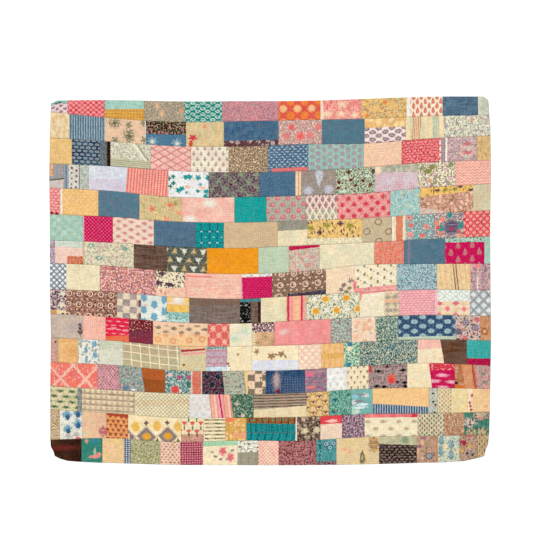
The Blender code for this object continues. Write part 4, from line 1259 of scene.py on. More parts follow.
# %% Strip 12
sew(
    (30, d.coral_red_salmon, mottle(d.coral_salmon, 4, 0.6), mottle(d.orange_coral, 7, 0.5, 5),
        feathered(lattice(d.peach_salmon, (15.5, 17), 2.2, (14.8, 176)), 0.9, False),
        feathered(lattice(d.peach_shell, (15.5, 17), 0.8, (14.8, 176)), 0.7, False),
        specks(d.pink_peach, 1.6, 0.06)),
    ((42.5, 44.5), d.pink_pink_stone, spots(d.maroon_mauve, (1.9, 1.25), (1.2, 1.5), leaf, rag=0.5),
        mottle(d.candy, 4, 0.4)),
    ((57, 59.5), d.sage_grey_sea, mottle(d.aqua_sea, 4, 0.6), specks(d.plum_taupe, 1.5),
        specks(d.stone, 1.3, 0.24, 6), dabs(d.blue_slate, (3.4, 3), disc, (48, 181.8), soft=0.6),
        dabs(d.ice, (3, 1.4), disc, (52.2, 183)), piece(d.sky_grey, left=56, bottom=174)),
    (72, d.rust, stripes(d.brick_rust, 1.5, 0.5), mottle(d.rust_brown, 4),
        piece(d.rust_brown, slub(d.rust_umber, 0.6), mottle(d.umber_rust, 4, 0.4), top=(175.8, 177.4))),
    (88, d.sea_slate_slate, florets(d.ice, 2.6, 0.2), leaves(d.green_sea, 2.2, 0.8),
        leaves(d.navy_ink, 2.4, 0.7, 0.6, 0.42, 12), specks(d.ecru, 1.2, 0.16), specks(d.aqua, 1.2, 0.2, 8),
        dabs(d.cerise_plum, (4, 2.8), petals(5), (81, 175), (87, 175.2), rag=0.4),
        dabs(d.shell, (4, 3), petals(5), (75, 173.6), rag=0.4),
        dabs(d.brick_red, (5.4, 5.4), petals(8, 0.1), (78.3, 182.8), rag=0.3),
        dabs(d.red, (3.4, 3.2), disc, (78.3, 182.6)), dabs(d.green_bottle, (2, 4.6), leaf, (86.4, 179.6))),
    (95, d.cream_stone, piece(d.brick_tan_salmon, worms(d.brick_coral, 1.5, 1.2), left=88.9, right=94.3)),
    ((107.5, 109), d.black_ink_maroon, mottle(d.ink_maroon), slub(d.black_plum, 0.4),
        spots(d.ink_slate, (6.6, 5.2), (4.4, 4.4), petals(6, 0.1), start=(98, 174.6), rag=0.3),
        spots(d.black_ink, (6.6, 5.2), (3.2, 3.2), start=(98, 174.6)), specks(d.mauve_ink, 1, 0.12)),
    ((121, 122.5), d.sage_stone, specks(d.rose_taupe, 1.2, 0.24), specks(d.mint_sage, 1.2, 0.3, 9),
        specks(d.bottle_grey, 1.6, 0.08, 4)),
    (134.5, d.ecru_peach, spots(d.brown_taupe, (8.9, 4.4), (4.6, 4), box, start=(130, 179.8), soft=0.12),
        specks(d.leaf_brown, 2, 0.08), piece(d.straw_yellow, left=(121, 122.5), right=123.4)),
    (159, d.navy, mottle(d.royal_ink, (4, 7)), slub(d.slate_blue, 0.4),
        dabs(d.grey_plum, (5.6, 16), leaf, (141.3, 178), rag=0.5),
        dabs(d.stone_mauve, (3.4, 9), leaf, (141.2, 177), soft=0.5, rag=0.5),
        dabs(d.maroon, (3, 3), petals(4), (142.2, 184)),
        piece(d.navy_royal, checks(d.slate, 1.6, 0.5, 0.4), left=146, top=175)),
    (172.5, d.mauve_slate, mottle(d.pink_mauve, 3, 0.6),
        feathered(spots(d.cerise_mauve, (6.4, 4), (4, 1.8)), 1.2, False),
        mottle(d.plum_navy, (4, 2), 0.6, 6), specks(d.taupe_mauve, 1.2, 0.16),
        dabs(d.coral_rose, (5, 2), disc, (162.6, 181.2), soft=0.5),
        dabs(d.cerise_rose, (6, 3), disc, (161.6, 173), soft=0.5)),
    (185, d.milk_white, spots(d.ash_ice, (4.4, 3.4), (1.8, 2.6), soft=0.6), mottle(d.ice, 5, 0.4),
        mottle(d.shell, 6, 0.25, 5)),
    (198.5, d.ecru_cream, spots(d.taupe_brown, (3.95, 3.2), (1.5, 2.3), petals(3, 0.2), start=(191.7, 175)),
        mottle(d.cream, 4, 0.4)),
    (222.5, d.mauve_taupe, mottle(d.rose_stone, 3, 0.6), specks(d.brown_plum, 1.2, 0.24),
        specks(d.leaf_grey, 1.6, 0.1, 5),
        dabs(d.black, (4.4, 2), petals(4), (204.6, 171.4), (203.6, 180.6), (219.8, 170.6), (221, 178.4),
            (221.4, 180.6), (208, 181)),
        dabs(d.maroon_black, (3.4, 1.8), petals(4), (216.4, 178), (210, 168.6)),
        dabs(d.red_orange, (5.6, 6), petals(8, 0.1), (212.8, 176)),
        dabs(d.red, (3.4, 4), disc, (212.6, 177)),
        piece(d.brick_red, mottle(d.maroon, 2), right=200.6, bottom=171.6)),
    ((236, 238), d.ivory_cream, mottle(d.yellow_cream, 5, 0.4), slub(d.straw, 0.3)),
    (252, d.fuchsia_magenta, slub(d.crimson), mottle(d.magenta_crimson, 3, 0.4),
        feathered(
            dabs(d.candy, (6.6, 2), disc, (244.4, 173.8), (250.6, 178), (239.4, 177.4), (244.6, 181.4),
                soft=0.4), 1, False),
        piece(d.red_crimson, specks(d.pink, 1.6, 0.14), bottom=(170.8, 170.6))),
    ((255.8, 258.6), d.brick_tan, mottle(d.maroon_brick, 3, 0.6), florets(d.shell_brick, 2.4, 0.5),
        specks(d.olive_rust, 1.2, 0.26), dabs(d.bark, (2, 1.6), disc, (253, 178.6)),
        piece(d.orange_rust, top=180)),
    ((263, 265), d.tan_apricot, slub(d.rust_orange, 0.6), mottle(d.brown_orange, 3, 0.3),
        piece(d.maroon_brick, left=(262.4, 264.4))),
    (END, d.stone_rose, mottle(d.taupe_sage, 3, 0.6), mottle(d.pink_rose, 3, 0.5, 6),
        specks(d.mauve_brown, 1.2, 0.2),
        dabs(d.leaf_taupe, (3.6, 2.8), petals(5), (269.6, 173), (270.4, 178)),
        piece(d.brick_rust, right=(264, 266))),
)

# %% [markdown]
# Strip 13: green sprigs, two checks, stripes with a crimson line, wavy brown lines, a yellow ogee, ikat.

# %% Strip 13
sew(
    (17.5, d.straw_celery_olive, mottle(d.peach_cream, 5), mottle(d.cream_straw, 3, 0.5, 5),
        spots(d.moss_leaf, (7.4, 3.3), (6.2, 2.4), petals(7, 0.3), start=(3, 186.6), rag=0.3),
        spots(d.bottle, (7.4, 3.3), (3, 1), leaf, start=(3, 186.6), rag=0.2)),
    (20.3, d.sage_grey, mottle(d.slate_sage, 3, 0.6), worms(d.bottle_grey, 2, 0.8)),
    (53, d.cream_sand, stripes(d.tan_stone, 3.4, 1.7, amount=0.8),
        stripes(d.brown_taupe, 3.4, 1.1, level=True, start=1.2, amount=0.9),
        stripes(d.brown_khaki, 3.4, 0.8, amount=0.8),
        stripes(d.cream, 3.4, 0.4, level=True, start=2.4, amount=0.7), mottle(d.shell_sand, 5, 0.4),
        mottle(d.sage_straw, 7, 0.3, 6)),
    (87, d.sand_celery, mottle(d.tan_stone, (20, 5), 0.6),
        lattice(d.sage_khaki, (2.4, 2.4), 0.7, (60, 190)),
        spots(d.cream, (2.4, 1.2), (1.4, 1.1), start=(60, 190), soft=0.4),
        piece(d.khaki_tan, mottle(d.sand, 5, 0.4),
            spots(d.cream, (2.4, 1.2), (1.2, 1), start=(60, 190), soft=0.4), top=(189.4, 188.6),
            bottom=(193.2, 192))),
    ((99.5, 101), d.white_ice, checks(d.ash_shell, 1.3, 0.5, 0.4),
        spots(d.ash_ice, (4.6, 3.2), (2.2, 1.8), box, soft=0.6), mottle(d.shell_cream, 6, 0.4)),
    ((112.5, 114.5), d.peach_coral, stripes(d.salmon_peach, 2.1, 0.8, -0.1),
        stripes(d.shell_peach, 4.2, 1.2, -0.1, start=1), stripes(d.tan_brick, 4.2, 0.4, -0.1, start=2.2),
        stripes(d.pink_candy, 60, 3.6, -0.12, start=-24), stripes(d.crimson, 60, 1, -0.15, start=-23.9)),
    (127, d.leaf_bottle, leaves(d.mint_sage, 2.6, 0.9, 1.6, 0.48), specks(d.bottle_ink, 1.3),
        florets(d.shell_sage, 3.4, 0.2)),
    (160, d.taupe_sage, feathered(stripes(d.umber_brown, 1.75, 0.75, level=True), 0.2, False),
        mottle(d.rose_taupe, 5, 0.3),
        piece(d.ecru_straw, slub(d.khaki, 0.4), mottle(d.cream, 6, 0.4), top=(195.2, 192.6))),
    (174, d.honey_straw, mottle(d.apricot_tan, 2.4), lattice(d.gold_olive, (7.8, 6.8), 1.3, (167.8, 191.6)),
        spots(d.brown_tan, (7.8, 3.4), (4.4, 3.2), start=(164, 191), rag=0.4),
        spots(d.cream_honey, (7.8, 3.4), (3.2, 2.2), start=(164, 191)),
        spots(d.maroon, (7.8, 3.4), (2.4, 1.8), petals(3, 0.3), start=(164, 190.6), rag=0.4),
        spots(d.gold, (7.8, 3.4), (1, 1.6), leaf, start=(164, 192))),
    (188, d.sea_mint, leaves(d.pine_green, 2.2, 0.9, 1.4, 0.46),
        leaves(d.bottle_teal, 2.4, 0.7, 0.8, 0.4, 12), specks(d.ice), specks(d.green, 1.1, 0.24),
        dabs(d.teal_navy, (4, 3), petals(5), (177.6, 189), (177, 196.4), rag=0.3),
        dabs(d.leaf_olive, (1.6, 2), disc, (178, 195.6))),
    (201, d.aqua_sea, mottle(d.mint_turquoise, 4, 0.6),
        dabs(d.milk_lilac, (3.6, 2.4), disc, (196.6, 186.2), (189.4, 190.6), rag=0.5),
        dabs(d.slate_mauve, (7, 1.6), leaf, (192.6, 186), (193, 190), rag=0.5),
        dabs(d.ice, (9, 1.8), leaf, (193, 194), (194.6, 192), rag=0.5),
        dabs(d.sky, (5, 2.6), leaf, (190, 187)), dabs(d.mint_milk, (5, 3), petals(5), (191, 196.4)),
        piece(d.mint, mottle(d.ice, 2), right=190, top=193)),
    (236, d.yellow_peach, slub(d.honey, 0.35), mottle(d.apricot_yellow, 7, 0.4),
        piece(d.sky_ash, stripes(d.navy, 1.57, 0.85), mottle(d.mauve_slate, 4, 0.3), top=(191.6, 193.6))),
    (241.5, d.celery_ash, specks(d.stone, 1.6),
        dabs(d.black, (1.8, 1.6), petals(4), (238.8, 190.2), (240, 192), (239.4, 197), (238.6, 185)),
        leaves(d.bottle_sage, 2, 0.4)),
    (250, d.ecru_straw, spots(d.moss_brown, (2.6, 1.3), (1.9, 1.7), lens_pair, rag=0.5),
        mottle(d.tan_ecru, 3, 0.4)),
    (260, d.straw_yellow, slub(d.cream), mottle(d.celery, 6, 0.3)),
    (263.5, d.peach_cream,
        dabs(d.maroon_brick, (1.8, 2.2), petals(4), (261.4, 190.8), (261.8, 193), (262.2, 195.2),
            (262.8, 186.4)), stripes(d.brown_brick, 60, 0.5, start=2.6)),
    (END, d.peach_yellow, slub(d.honey_peach, 0.4), mottle(d.straw, 5, 0.4), florets(d.apricot, 3.6, 0.3)),
)

# %% [markdown]
# Strip 14: hatching, blue tulips, orange drops, a border with grey frames, red tulips, bright teal.

# %% Strip 14
sew(
    (6.5, d.straw_sand, zigzag(d.tan_brown, 5.4, 2.6, 1.9, 0.9), mottle(d.tan_milk),
        specks(d.brown_tan, 1.1, 0.14)),
    (20.5, d.ice_milk_ecru, mottle(d.milk_ecru, 4),
        dabs(d.denim_sky, (6, 6.2), petals(4, 0.16), (11, 198.6), (17.8, 197.4), (11.6, 207.4), rag=0.4),
        dabs(d.blue_sky, (5.8, 6.6), petals(4, 0.14), (17.6, 204.2), rag=0.4),
        dabs(d.royal_denim, (2.8, 4), leaf, (11.4, 200), (17.8, 198.2), (18, 205), (11.8, 208.6)),
        dabs(d.stone_ash, (5.6, 4), petals(5), (17, 210.6), (12, 211.6), rag=0.4),
        dabs(d.celery, (3, 3), petals(4), (8, 204.6), (14.6, 208)),
        dabs(d.crimson_pink, (3.4, 2.6), disc, (18, 213.2))),
    (35.5, d.biscuit_sand, checks(d.peach_salmon, 1.4, 0.5, 0.5), mottle(d.straw, 6, 0.4),
        dabs(d.maroon_rose, (5.4, 6.6), petals(8, 0.1), (33.4, 208.8), rag=0.3),
        dabs(d.rose, (4, 1), leaf, (33.2, 208), (33.2, 210.6)),
        dabs(d.mint, (2, 1.6), disc, (21.6, 209.6), soft=0.6)),
    (49, d.orange_honey, mottle(d.tan_orange),
        spots(d.maroon_brick, (3.3, 2.75), (2.3, 2.4), petals(3, 0.2), start=(38, 204.8), rag=0.4),
        spots(d.gold, (3.3, 2.75), (0.7, 0.8), start=(39.6, 204.8)),
        piece(d.maroon_rust, slub(d.red, 0.4), bottom=(198.4, 200.4))),
    (82, d.cream, mottle(d.yellow_straw, 4),
        dabs(d.yellow, (6.4, 7.6), diamond, (53.6, 205.8), (67, 205.4), (80, 205.8), rag=0.05),
        dabs(d.gold_yellow, (4.4, 6), disc, (53.6, 205.8), (67, 205.4), (80, 205.8)),
        dabs(d.plum_taupe, (12.4, 12.4), diamond, (60.4, 212), (73.6, 211.8), (47.4, 212), rag=0.05),
        dabs(d.olive_grey, (7.8, 7.4), diamond, (60.4, 212), (73.6, 211.8), rag=0.05),
        dabs(d.marigold_gold, (5, 4.2), disc, (60.6, 211.8), (73.8, 211.6)),
        dabs(d.brown_plum, (2.8, 3), petals(4), (60.2, 203.6), (73.2, 203.4)),
        dabs(d.moss_brown, (2.4, 2.4), triangle, (53.6, 214), (67.2, 213.8), (80, 214)),
        piece(d.straw_peach, top=211, right=50)),
    (96, d.cream_ecru, slub(d.straw, 0.4),
        spots(d.leaf_moss, (5.1, 5), (2.8, 3.6), lens_pair, start=(84, 206.6), rag=0.1),
        spots(d.red_brick, (5.1, 5), (3.2, 2.5), petals(3), start=(84, 203.5), rag=0.1),
        spots(d.orange_salmon, (5.1, 5), (1.1, 0.9), start=(84, 202.6)),
        piece(d.rose_tan, mottle(d.shell_rose, 3, 0.6), specks(d.brown_tan, 1.1, 0.24), top=(210.6, 210.2)),
        dabs(d.moss_brown, (1.5, 3), leaf, (81.8, 211), (86.8, 211), (91.8, 211))),
    (109.5, d.cream, feathered(stripes(d.brown_moss, 2.3, 1, level=True), 0.3, False),
        mottle(d.straw_cream, 4), piece(d.shell_cream, right=96.6)),
    (122.5, d.gold_honey, mottle(d.orange_tan, 3, 0.4), specks(d.gold_olive, 1.2),
        florets(d.yellow_peach, 2.6),
        dabs(d.pink_salmon, (2.2, 3.4), disc, (116.4, 210.8), (120.8, 211), soft=0.5),
        dabs(d.coral_orange, (8, 2.6), disc, (111.4, 201.6), soft=0.6)),
    (154, d.turquoise_teal_teal, slub(d.ink_teal, 0.6), stripes(d.teal_ink, 3.3, 0.7, start=1),
        piece(d.teal_turquoise, stripes(d.teal_ink, 4.4, 1, 0.32), slub(d.ink, 0.3),
            piece(d.plum_teal, bottom=209.7), top=209.2), mottle(d.blue_turquoise, (6, 3), 0.2),
        piece(d.rust_umber, mottle(d.olive_brown, 2.4, 0.6), specks(d.leaf, 1.2, 0.24),
            stripes(d.maroon, 4, 0.7), bottom=(203.6, 204.2)), piece(d.milk_shell, left=(153.2, 153))),
    (168.5, d.umber_brown_grey, mottle(d.bark_umber, 2.4, 0.7), specks(d.tan_taupe, 1.1, 0.26),
        specks(d.bark, 1.1, 0.3, 5), florets(d.taupe_khaki, 2.4, 0.5, 6, 0.44),
        dabs(d.khaki_ecru, (4.2, 3.8), petals(5, 0.14), (159, 208.4), (166.4, 207.8), soft=0.4, rag=0.4),
        dabs(d.peach_tan, (2, 3), petals(4), (158.4, 201.6), rag=0.4)),
    (182, d.ecru_shell, mottle(d.straw_ecru, 6, 0.4), slub(d.shell, 0.4),
        piece(d.red, mottle(d.crimson_red, 3, 0.4), dabs(d.pink, (9, 2.6), leaf, (176, 202.2)),
            dabs(d.cream_pink, (5.6, 1.6), leaf, (176, 202.2)),
            dabs(d.crimson_red, (1.6, 1.4), diamond, (179.6, 202)), bottom=(204.4, 203.6))),
    (196, d.plum_slate_grape, mottle(d.slate_mauve, 2.4, 0.6), specks(d.lilac_stone, 1.1, 0.26),
        specks(d.ink_plum, 1.1, 0.3, 4), specks(d.rose_mauve, 1.2, 0.2, 8)),
    (229, d.cream, mottle(d.ivory_celery, (12, 4)),
        spots(d.sand_stone, (9.6, 4.5), (4.2, 2.5), petals(6, 0.1), 0.5, (207.6, 202.6), soft=0.3),
        spots(d.tan_stone, (9.6, 4.5), (2, 1.1), disc, 0.5, (207.6, 202.6), soft=0.5),
        piece(d.coral_pink, mottle(d.red, 4, 0.6), bottom=(200.4, 199.8)),
        dabs(d.crimson_red, (3, 2.4), box, (227, 198.8))),
    (245.5, d.celery_sand, mottle(d.shell_straw, 4),
        spots(d.umber_moss, (2.9, 1.5), (2.3, 1.8), lens_pair, rag=0.4), specks(d.taupe, 1.1, 0.1)),
    (258, d.tan_brick_brown, stripes(d.brown_tan, 1.5, 0.5, amount=0.6),
        feathered(stripes(d.brown_brick, 2.4, 0.7, level=True, amount=0.7), 0.4, False),
        mottle(d.stone_tan, 2.4), specks(d.ecru_tan, 1.1, 0.16)),
    (END, d.green_teal_leaf, mottle(d.sea_green),
        dabs(d.stone_shell, (9, 6), petals(5, 0.2), (261.5, 203.4), rag=0.4),
        dabs(d.brick_stone, (11, 6.4), petals(8, 0.08), (268.6, 198.6), rag=0.3),
        dabs(d.sand_stone, (8, 3.2), disc, (268.6, 198.2), rag=0.4),
        dabs(d.rose_shell, (2.6, 2.2), petals(4), (260.4, 200.6), (262, 207)),
        dabs(d.tan_khaki, (7, 6), petals(6, 0.2), (269.4, 209), (262.4, 209.4), rag=0.4),
        leaves(d.bottle, 2, 0.6), specks(d.bottle, 1.4, 0.14)),
)

# %% [markdown]
# Strip 15, the last one, is framed by the round lower corners: near black at the left, and at the right
# cream with tulips.

# %% Strip 15
sew(
    (20, d.bark_umber, mottle(d.black_bark, (9, 4), 0.6), slub(d.black),
        dabs(d.maroon_umber, (16, 3), disc, (8, 219), soft=0.7, rag=0.6)),
    (33, d.sea_green, mottle(d.teal_green, 3, 0.6), slub(d.bottle_green),
        dabs(d.salmon_rose, (7, 2.6), leaf, (28.4, 224.4), rag=0.6),
        dabs(d.coral_stone, (2.2, 3.4), petals(4), (23.2, 214.8), rag=0.4),
        dabs(d.blue_teal, (5, 4), petals(5), (28, 214.6), rag=0.5),
        dabs(d.leaf_celery, (2, 5), leaf, (28.4, 221.2), rag=0.4),
        dabs(d.salmon_rose, (2.6, 3), leaf, (31, 223), rag=0.4)),
    (46.5, d.straw_yellow_honey, slub(d.biscuit), mottle(d.peach, 5),
        dabs(d.salmon_peach, (2, 2), petals(4), (35, 218.6), (36.4, 220.6))),
    (50.5, d.slate_navy, spots(d.ash_ice, (1.6, 1.3), (1, 0.9), disc, 0, (48, 220))),
    (69, d.sage_olive_tan, mottle(d.celery_sage, 3, 0.6), specks(d.moss, 1, 0.34),
        specks(d.straw_sage, 1.1, 0.24, 6)),
    (81.5, d.peach, spots(d.tan_brown, (2.6, 1.6), (1.5, 1.4), leaf, start=(74, 220), rag=0.5),
        mottle(d.shell, 4)),
    (95.5, d.crimson_maroon_plum, stripes(d.maroon, 2.9, 0.9, level=True, amount=0.5),
        spots(d.candy_pink, (1.5, 1.45), (0.9, 0.75), disc, 0, rag=0.05),
        mottle(d.rose_crimson, (14, 2), 0.3)),
    (117, d.cream, mottle(d.straw_cream, 5),
        piece(d.lime_mint, mottle(d.mint_celery), top=(214.2, 214), bottom=(218.2, 217.4)),
        dabs(d.pink_shell, (5.4, 6.4), petals(5, 0.1), (107.8, 221.4), (112.8, 225), rag=0.4),
        dabs(d.red_rose, (4, 5), petals(5, 0.14), (107.8, 221), (112.6, 225), rag=0.4),
        dabs(d.taupe_grey, (3.6, 2.6), lambda x, y: leaf(x + y, y - x), (103.2, 224.4), rag=0.5),
        dabs(d.grey_mauve, (3.4, 2.8), lambda x, y: leaf(x - y, y + x), (113.6, 220.6), (106.4, 226),
            rag=0.5), dabs(d.ash_taupe, (2.4, 2), petals(5), (101.4, 221.6), (110.4, 226), rag=0.4)),
    (130, d.sage_taupe, slub(d.taupe, 0.4), stripes(d.taupe_moss, 4.6, 1.2, amount=0.5),
        piece(d.milk, specks(d.plum_taupe, 1.7), spots(d.celery, (3.4, 1.9), (1.6, 1.2)), top=214,
            bottom=(221.8, 221.4))),
    (142.5, d.shell_cream, lattice(d.coral_pink, (2.3, 2.3), 0.55, (135, 220)), mottle(d.peach_cream, 5)),
    (166, d.brick_mauve, specks(d.maroon_plum, 1.1, 0.36), specks(d.taupe_rose, 1.1, 0.26, 7),
        mottle(d.plum_brick, 4), specks(d.umber_maroon, 1.2, 0.2, 11)),
    (178.5, d.sea_teal, mottle(d.sea, 5), piece(d.teal_bottle, slub(d.ink, 0.3), left=167.4, right=169),
        dabs(d.ink_slate, (4.2, 3.8), ring, (172, 216.6), (176.8, 216.2), (174.4, 218.8), rag=0.3),
        dabs(d.sky_ash, (2.4, 2.2), disc, (172, 216.6), (176.8, 216.2), (174.4, 218.8)),
        dabs(d.ink, (1.1, 1), disc, (172, 216.6), (176.8, 216.2), (174.4, 218.8)), worms(d.sky_sea, 3),
        piece(d.mauve_bottle, specks(d.maroon, 1.3, 0.4), top=227.4)),
    (205, d.straw_tan_cream, mottle(d.yellow_straw, 5), stripes(d.sand, 9, 0.4, level=True, amount=0.5),
        dabs(d.brown_tan, (6.4, 9.8), petals(8, 0.08), (201.6, 216.6), rag=0.3),
        dabs(d.tan_gold, (5, 1.2), leaf, (201.6, 214), (201.6, 217), (201.6, 220)),
        dabs(d.taupe_tan, (3.4, 1), leaf, (201.6, 215.4), (201.6, 218.4)),
        dabs(d.brown_moss, (5, 8.8), drop, (194.6, 224.6), rag=0.3),
        dabs(d.sand_taupe, (1.4, 4), leaf, (194.6, 225)),
        dabs(d.orange_peach, (3.4, 2.2), petals(4), (184, 220), (186.6, 221.4), rag=0.4),
        dabs(d.salmon_peach, (2, 1.4), disc, (182, 219.4))),
    (228.5, d.black_bark, spots(d.taupe, (3.2, 1.6), (1.9, 1), leaf, rag=0.4),
        specks(d.umber_taupe, 1.1, 0.2), mottle(d.bark, 4, 0.4),
        dabs(d.plum_black, (3, 3), disc, (207.6, 218), soft=0.5),
        piece(d.khaki_sage, mottle(d.celery_straw, 5), bottom=(216.4, 217.4)),
        dabs(d.leaf_sage, (4.8, 4.6), disc, (221.2, 214), soft=0.3, rag=0.3)),
    (241.5, d.tan_taupe, leaves(d.maroon_brown, 2.2, 0.5), specks(d.brown_tan, 1.2),
        mottle(d.blush_tan, 2.6), florets(d.peach_tan, 3, 0.3),
        dabs(d.maroon_mauve, (5, 2.4), petals(5), (233, 212.8), (230, 218), rag=0.3),
        dabs(d.slate_navy, (5, 4.4), petals(8, 0.14), (236.2, 224), rag=0.3),
        dabs(d.stone, (2.8, 2.4), disc, (236.2, 224)), dabs(d.slate, (1.4, 1.2), disc, (236.2, 224)),
        piece(d.brick_tan, left=240)),
    (255, d.celery_ash, mottle(d.cream_celery, 4),
        dabs(d.slate_denim, (4.2, 6), tulip, (243.6, 214.4), (243.2, 221), (250, 217), (249.8, 223.8),
            rag=0.4),
        dabs(d.sky_slate, (3.4, 4.4), drop, (243.4, 213.4), (243.2, 220.4), (249.8, 216.4), (249.8, 223)),
        dabs(d.yellow_ivory, (2.4, 3.4), disc, (246.6, 218.6), (253, 221), soft=0.5),
        specks(d.leaf_sage, 1.6, 0.16)),
    (266, d.tan_taupe, mottle(d.rose_shell, 2.6), leaves(d.olive_brown, 2.2, 0.6),
        specks(d.umber_taupe, 1.2, 0.2), dabs(d.plum_magenta, (3, 3), petals(5), (255.6, 215.4), rag=0.4),
        dabs(d.crimson_maroon, (3.4, 4), petals(5), (258, 216), rag=0.4),
        dabs(d.maroon_rose, (7, 1.8), leaf, (261, 211.6), rag=0.4),
        dabs(d.gold_tan, (2.4, 4), leaf, (261.6, 217.6), (256.6, 220.4), rag=0.5),
        dabs(d.grey_taupe, (5.6, 3.6), petals(6, 0.2), (261.4, 222.6), rag=0.4),
        dabs(d.umber, (1.6, 1.4), disc, (259.8, 222.4), (263, 223.2))),
    (END, d.sand_tan, spots(d.brown_umber, (3, 1.9), (2.5, 2.4), lens_pair, rag=0.2),
        specks(d.moss_tan, 1.2, 0.34), mottle(d.ecru_tan, 4, 0.4)),
)
print(sum(len(row) for row in PATCHES), "patches in all")

# %% [markdown]
# ## From a recipe to a material
# Every patch is its own cloth, so every patch gets its own material. The recipe paints the print. Then
# the same wear goes over all: a hand-printed wobble, a faded bloom and thread streaks. A painted shade
# follows: a darker line along each seam, for the shadow where the seam is pressed down. The bump adds
# what is too fine for the mesh: the threads of the weave, the puckers that each stitch pulls, and the
# creases of pieced bits.

# %% Measures of the quilting
STITCH_ROWS = 14
ROW_CM = 1.08
STITCH_PITCH_CM = 1.0
THREAD_CM = 0.09
WOBBLE_CM = 0.34
BUMP_STRENGTH = 0.9
CLOTH_ROUGHNESS = 0.92
CLOTH_SPECULAR = 0.06


# %% The place on the cloth that a recipe reads
def place_on_cloth(strip, left, right):
    """x and y in cm from the UV map `cloth`, moved a little by a cloud, as a hand-held block is."""
    uv = Value(add_node("ShaderNodeUVMap", {}, uv_map="cloth").outputs[0])
    apart = add_node("ShaderNodeSeparateXYZ", {0: uv})
    x, y = Value(apart.outputs[0]) * 100, Value(apart.outputs[1]) * 100
    plain = SimpleNamespace(place=vector(x, y))
    at = SimpleNamespace(left=left, right=right, creases=[], straight_x=x, straight_y=y)
    at.x = x + (cloud(plain, 2.2, 11) - 0.5) * (2 * WOBBLE_CM)
    at.y = y + (cloud(plain, 2.2, 12) - 0.5) * (2 * WOBBLE_CM)
    at.place = vector(at.x, at.y)
    at.rough = cloud(plain, 0.9, 13) - 0.5

    def place_of(place):
        """A place on the whole cloth, as x and depth under the strip's upper seam."""
        if place is None:
            return left, 0.0
        return place[0], place[1] - float(seam_depth(strip, place[0]))

    at.place_of = place_of
    return at


# %% Wear, painted seam shade and relief
FADE = dye(243, 243, 245)
STREAK = dye(232, 229, 230)
# Painted shade: the colour that darkens the cloth along each seam, standing in for the shadow in the seam's
# trough.
SEAM_PAINTED_SHADE = dye(150, 146, 144)
SEAM_REACH_CM = 0.16
WEAVE_MM = 0.02


def wear_and_painted_seam_shade(at, color, seam_gap):
    """Fade and thread streaks, which are wear, and a painted shade along each pressed seam for the shadow in
    its trough, each multiplied in.
    """
    color = mix(below(cloud(at, 11, 21), 0.5, 0.2), color, FADE, "MULTIPLY")
    threads = cloud(at, (0.75, 3.6), 22) + cloud(at, (3.6, 0.75), 23)
    color = mix(below(threads, 1.0, 0.18), color, STREAK, "MULTIPLY")
    # Painted shade: the colour is darkened within SEAM_REACH_CM of a seam, where the pressed seam lies low.
    return mix(below(seam_gap, SEAM_REACH_CM, SEAM_REACH_CM) * 0.35, color, SEAM_PAINTED_SHADE, "MULTIPLY")


def puckers(at):
    """Small lumps between the stitches and larger ones between the rows."""
    return cloud(at, (1.1, 0.7), 31) + cloud(at, (3.2, 1.6), 32)


def weave_mm(at):
    """sin(x) * sin(y), one wave to each thread."""
    turns = FULL_TURN / THREAD_CM
    return maths("SINE", at.straight_x * turns) * maths("SINE", at.straight_y * turns) * WEAVE_MM


def relief_mm(at, rows, seam_gap):
    """Height in mm: weave + puckers - dimples at the stitches - creases."""
    phase = rows.x + maths("FLOOR", rows.y) * 0.5
    in_row = below(size_of(maths("FRACT", rows.y) - 0.5), 0.16, 0.16)
    dimple = maths("COSINE", phase * FULL_TURN) * in_row
    height = puckers(at) * 0.75 - dimple * 0.34 + weave_mm(at)
    for crease in at.creases:
        height = height - below(size_of(crease), 0.12, 0.12) * 0.45
    return height - below(seam_gap, 0.1, 0.1) * 0.35


def new_material(name):
    """A material whose node tree is put on the bench, and its shader."""
    material = bpy.data.materials.new(name)
    material.use_nodes = True
    bench.tree = material.node_tree
    return material, bench.tree.nodes["Principled BSDF"]


def set_finish(shader, roughness, specular):
    """How matte a surface is, and how much light it gives back straight on."""
    shader.inputs["Roughness"].default_value = roughness
    shader.inputs["Specular IOR Level"].default_value = specular


def finish_cloth(shader, color, height):
    """Link the colour and the bump of a height in mm, and make the cloth matte."""
    bump = add_node("ShaderNodeBump", {"Height": height, "Distance": MM, "Strength": BUMP_STRENGTH})
    bench.tree.links.new(color.socket, shader.inputs["Base Color"])
    bench.tree.links.new(bump.outputs[0], shader.inputs["Normal"])
    set_finish(shader, CLOTH_ROUGHNESS, CLOTH_SPECULAR)


def patch_material(name, strip, left, right, ground, layers):
    """The material of one patch. `left` and `right` are its seams as (upper, lower) x in cm."""
    material, shader = new_material(name)
    at = place_on_cloth(strip, left[0], right[0])
    rows_uv = Value(add_node("ShaderNodeUVMap", {}, uv_map="rows").outputs[0])
    apart = add_node("ShaderNodeSeparateXYZ", {0: rows_uv})
    rows = SimpleNamespace(x=Value(apart.outputs[0]), y=Value(apart.outputs[1]))
    gap_left = at.straight_x - at.straight_y * ((left[1] - left[0]) / STRIP_TALL_CM) - left[0]
    gap_right = right[0] + at.straight_y * ((right[1] - right[0]) / STRIP_TALL_CM) - at.straight_x
    gap_level = (STITCH_ROWS / 2 - size_of(rows.y - STITCH_ROWS / 2)) * ROW_CM
    seam_gap = either(gap_left, gap_right, gap_level)
    # The colour carries the print, the wear and the painted seam shade.
    color = wear_and_painted_seam_shade(at, laid(at, ground, layers), seam_gap)
    finish_cloth(shader, color, relief_mm(at, rows, seam_gap))
    return material


# %% [markdown]
# ## The quilted surface
# A kantha quilt is low but never flat. The seams are pressed down, the patches swell between them,
# and each row of stitches draws a shallow furrow. At the rim the hem is folded in: a round edge, a
# flat band, and a last furrow where it is stitched. One function gives the height at any place, so
# the cloth and the stitches that lie on it always agree.

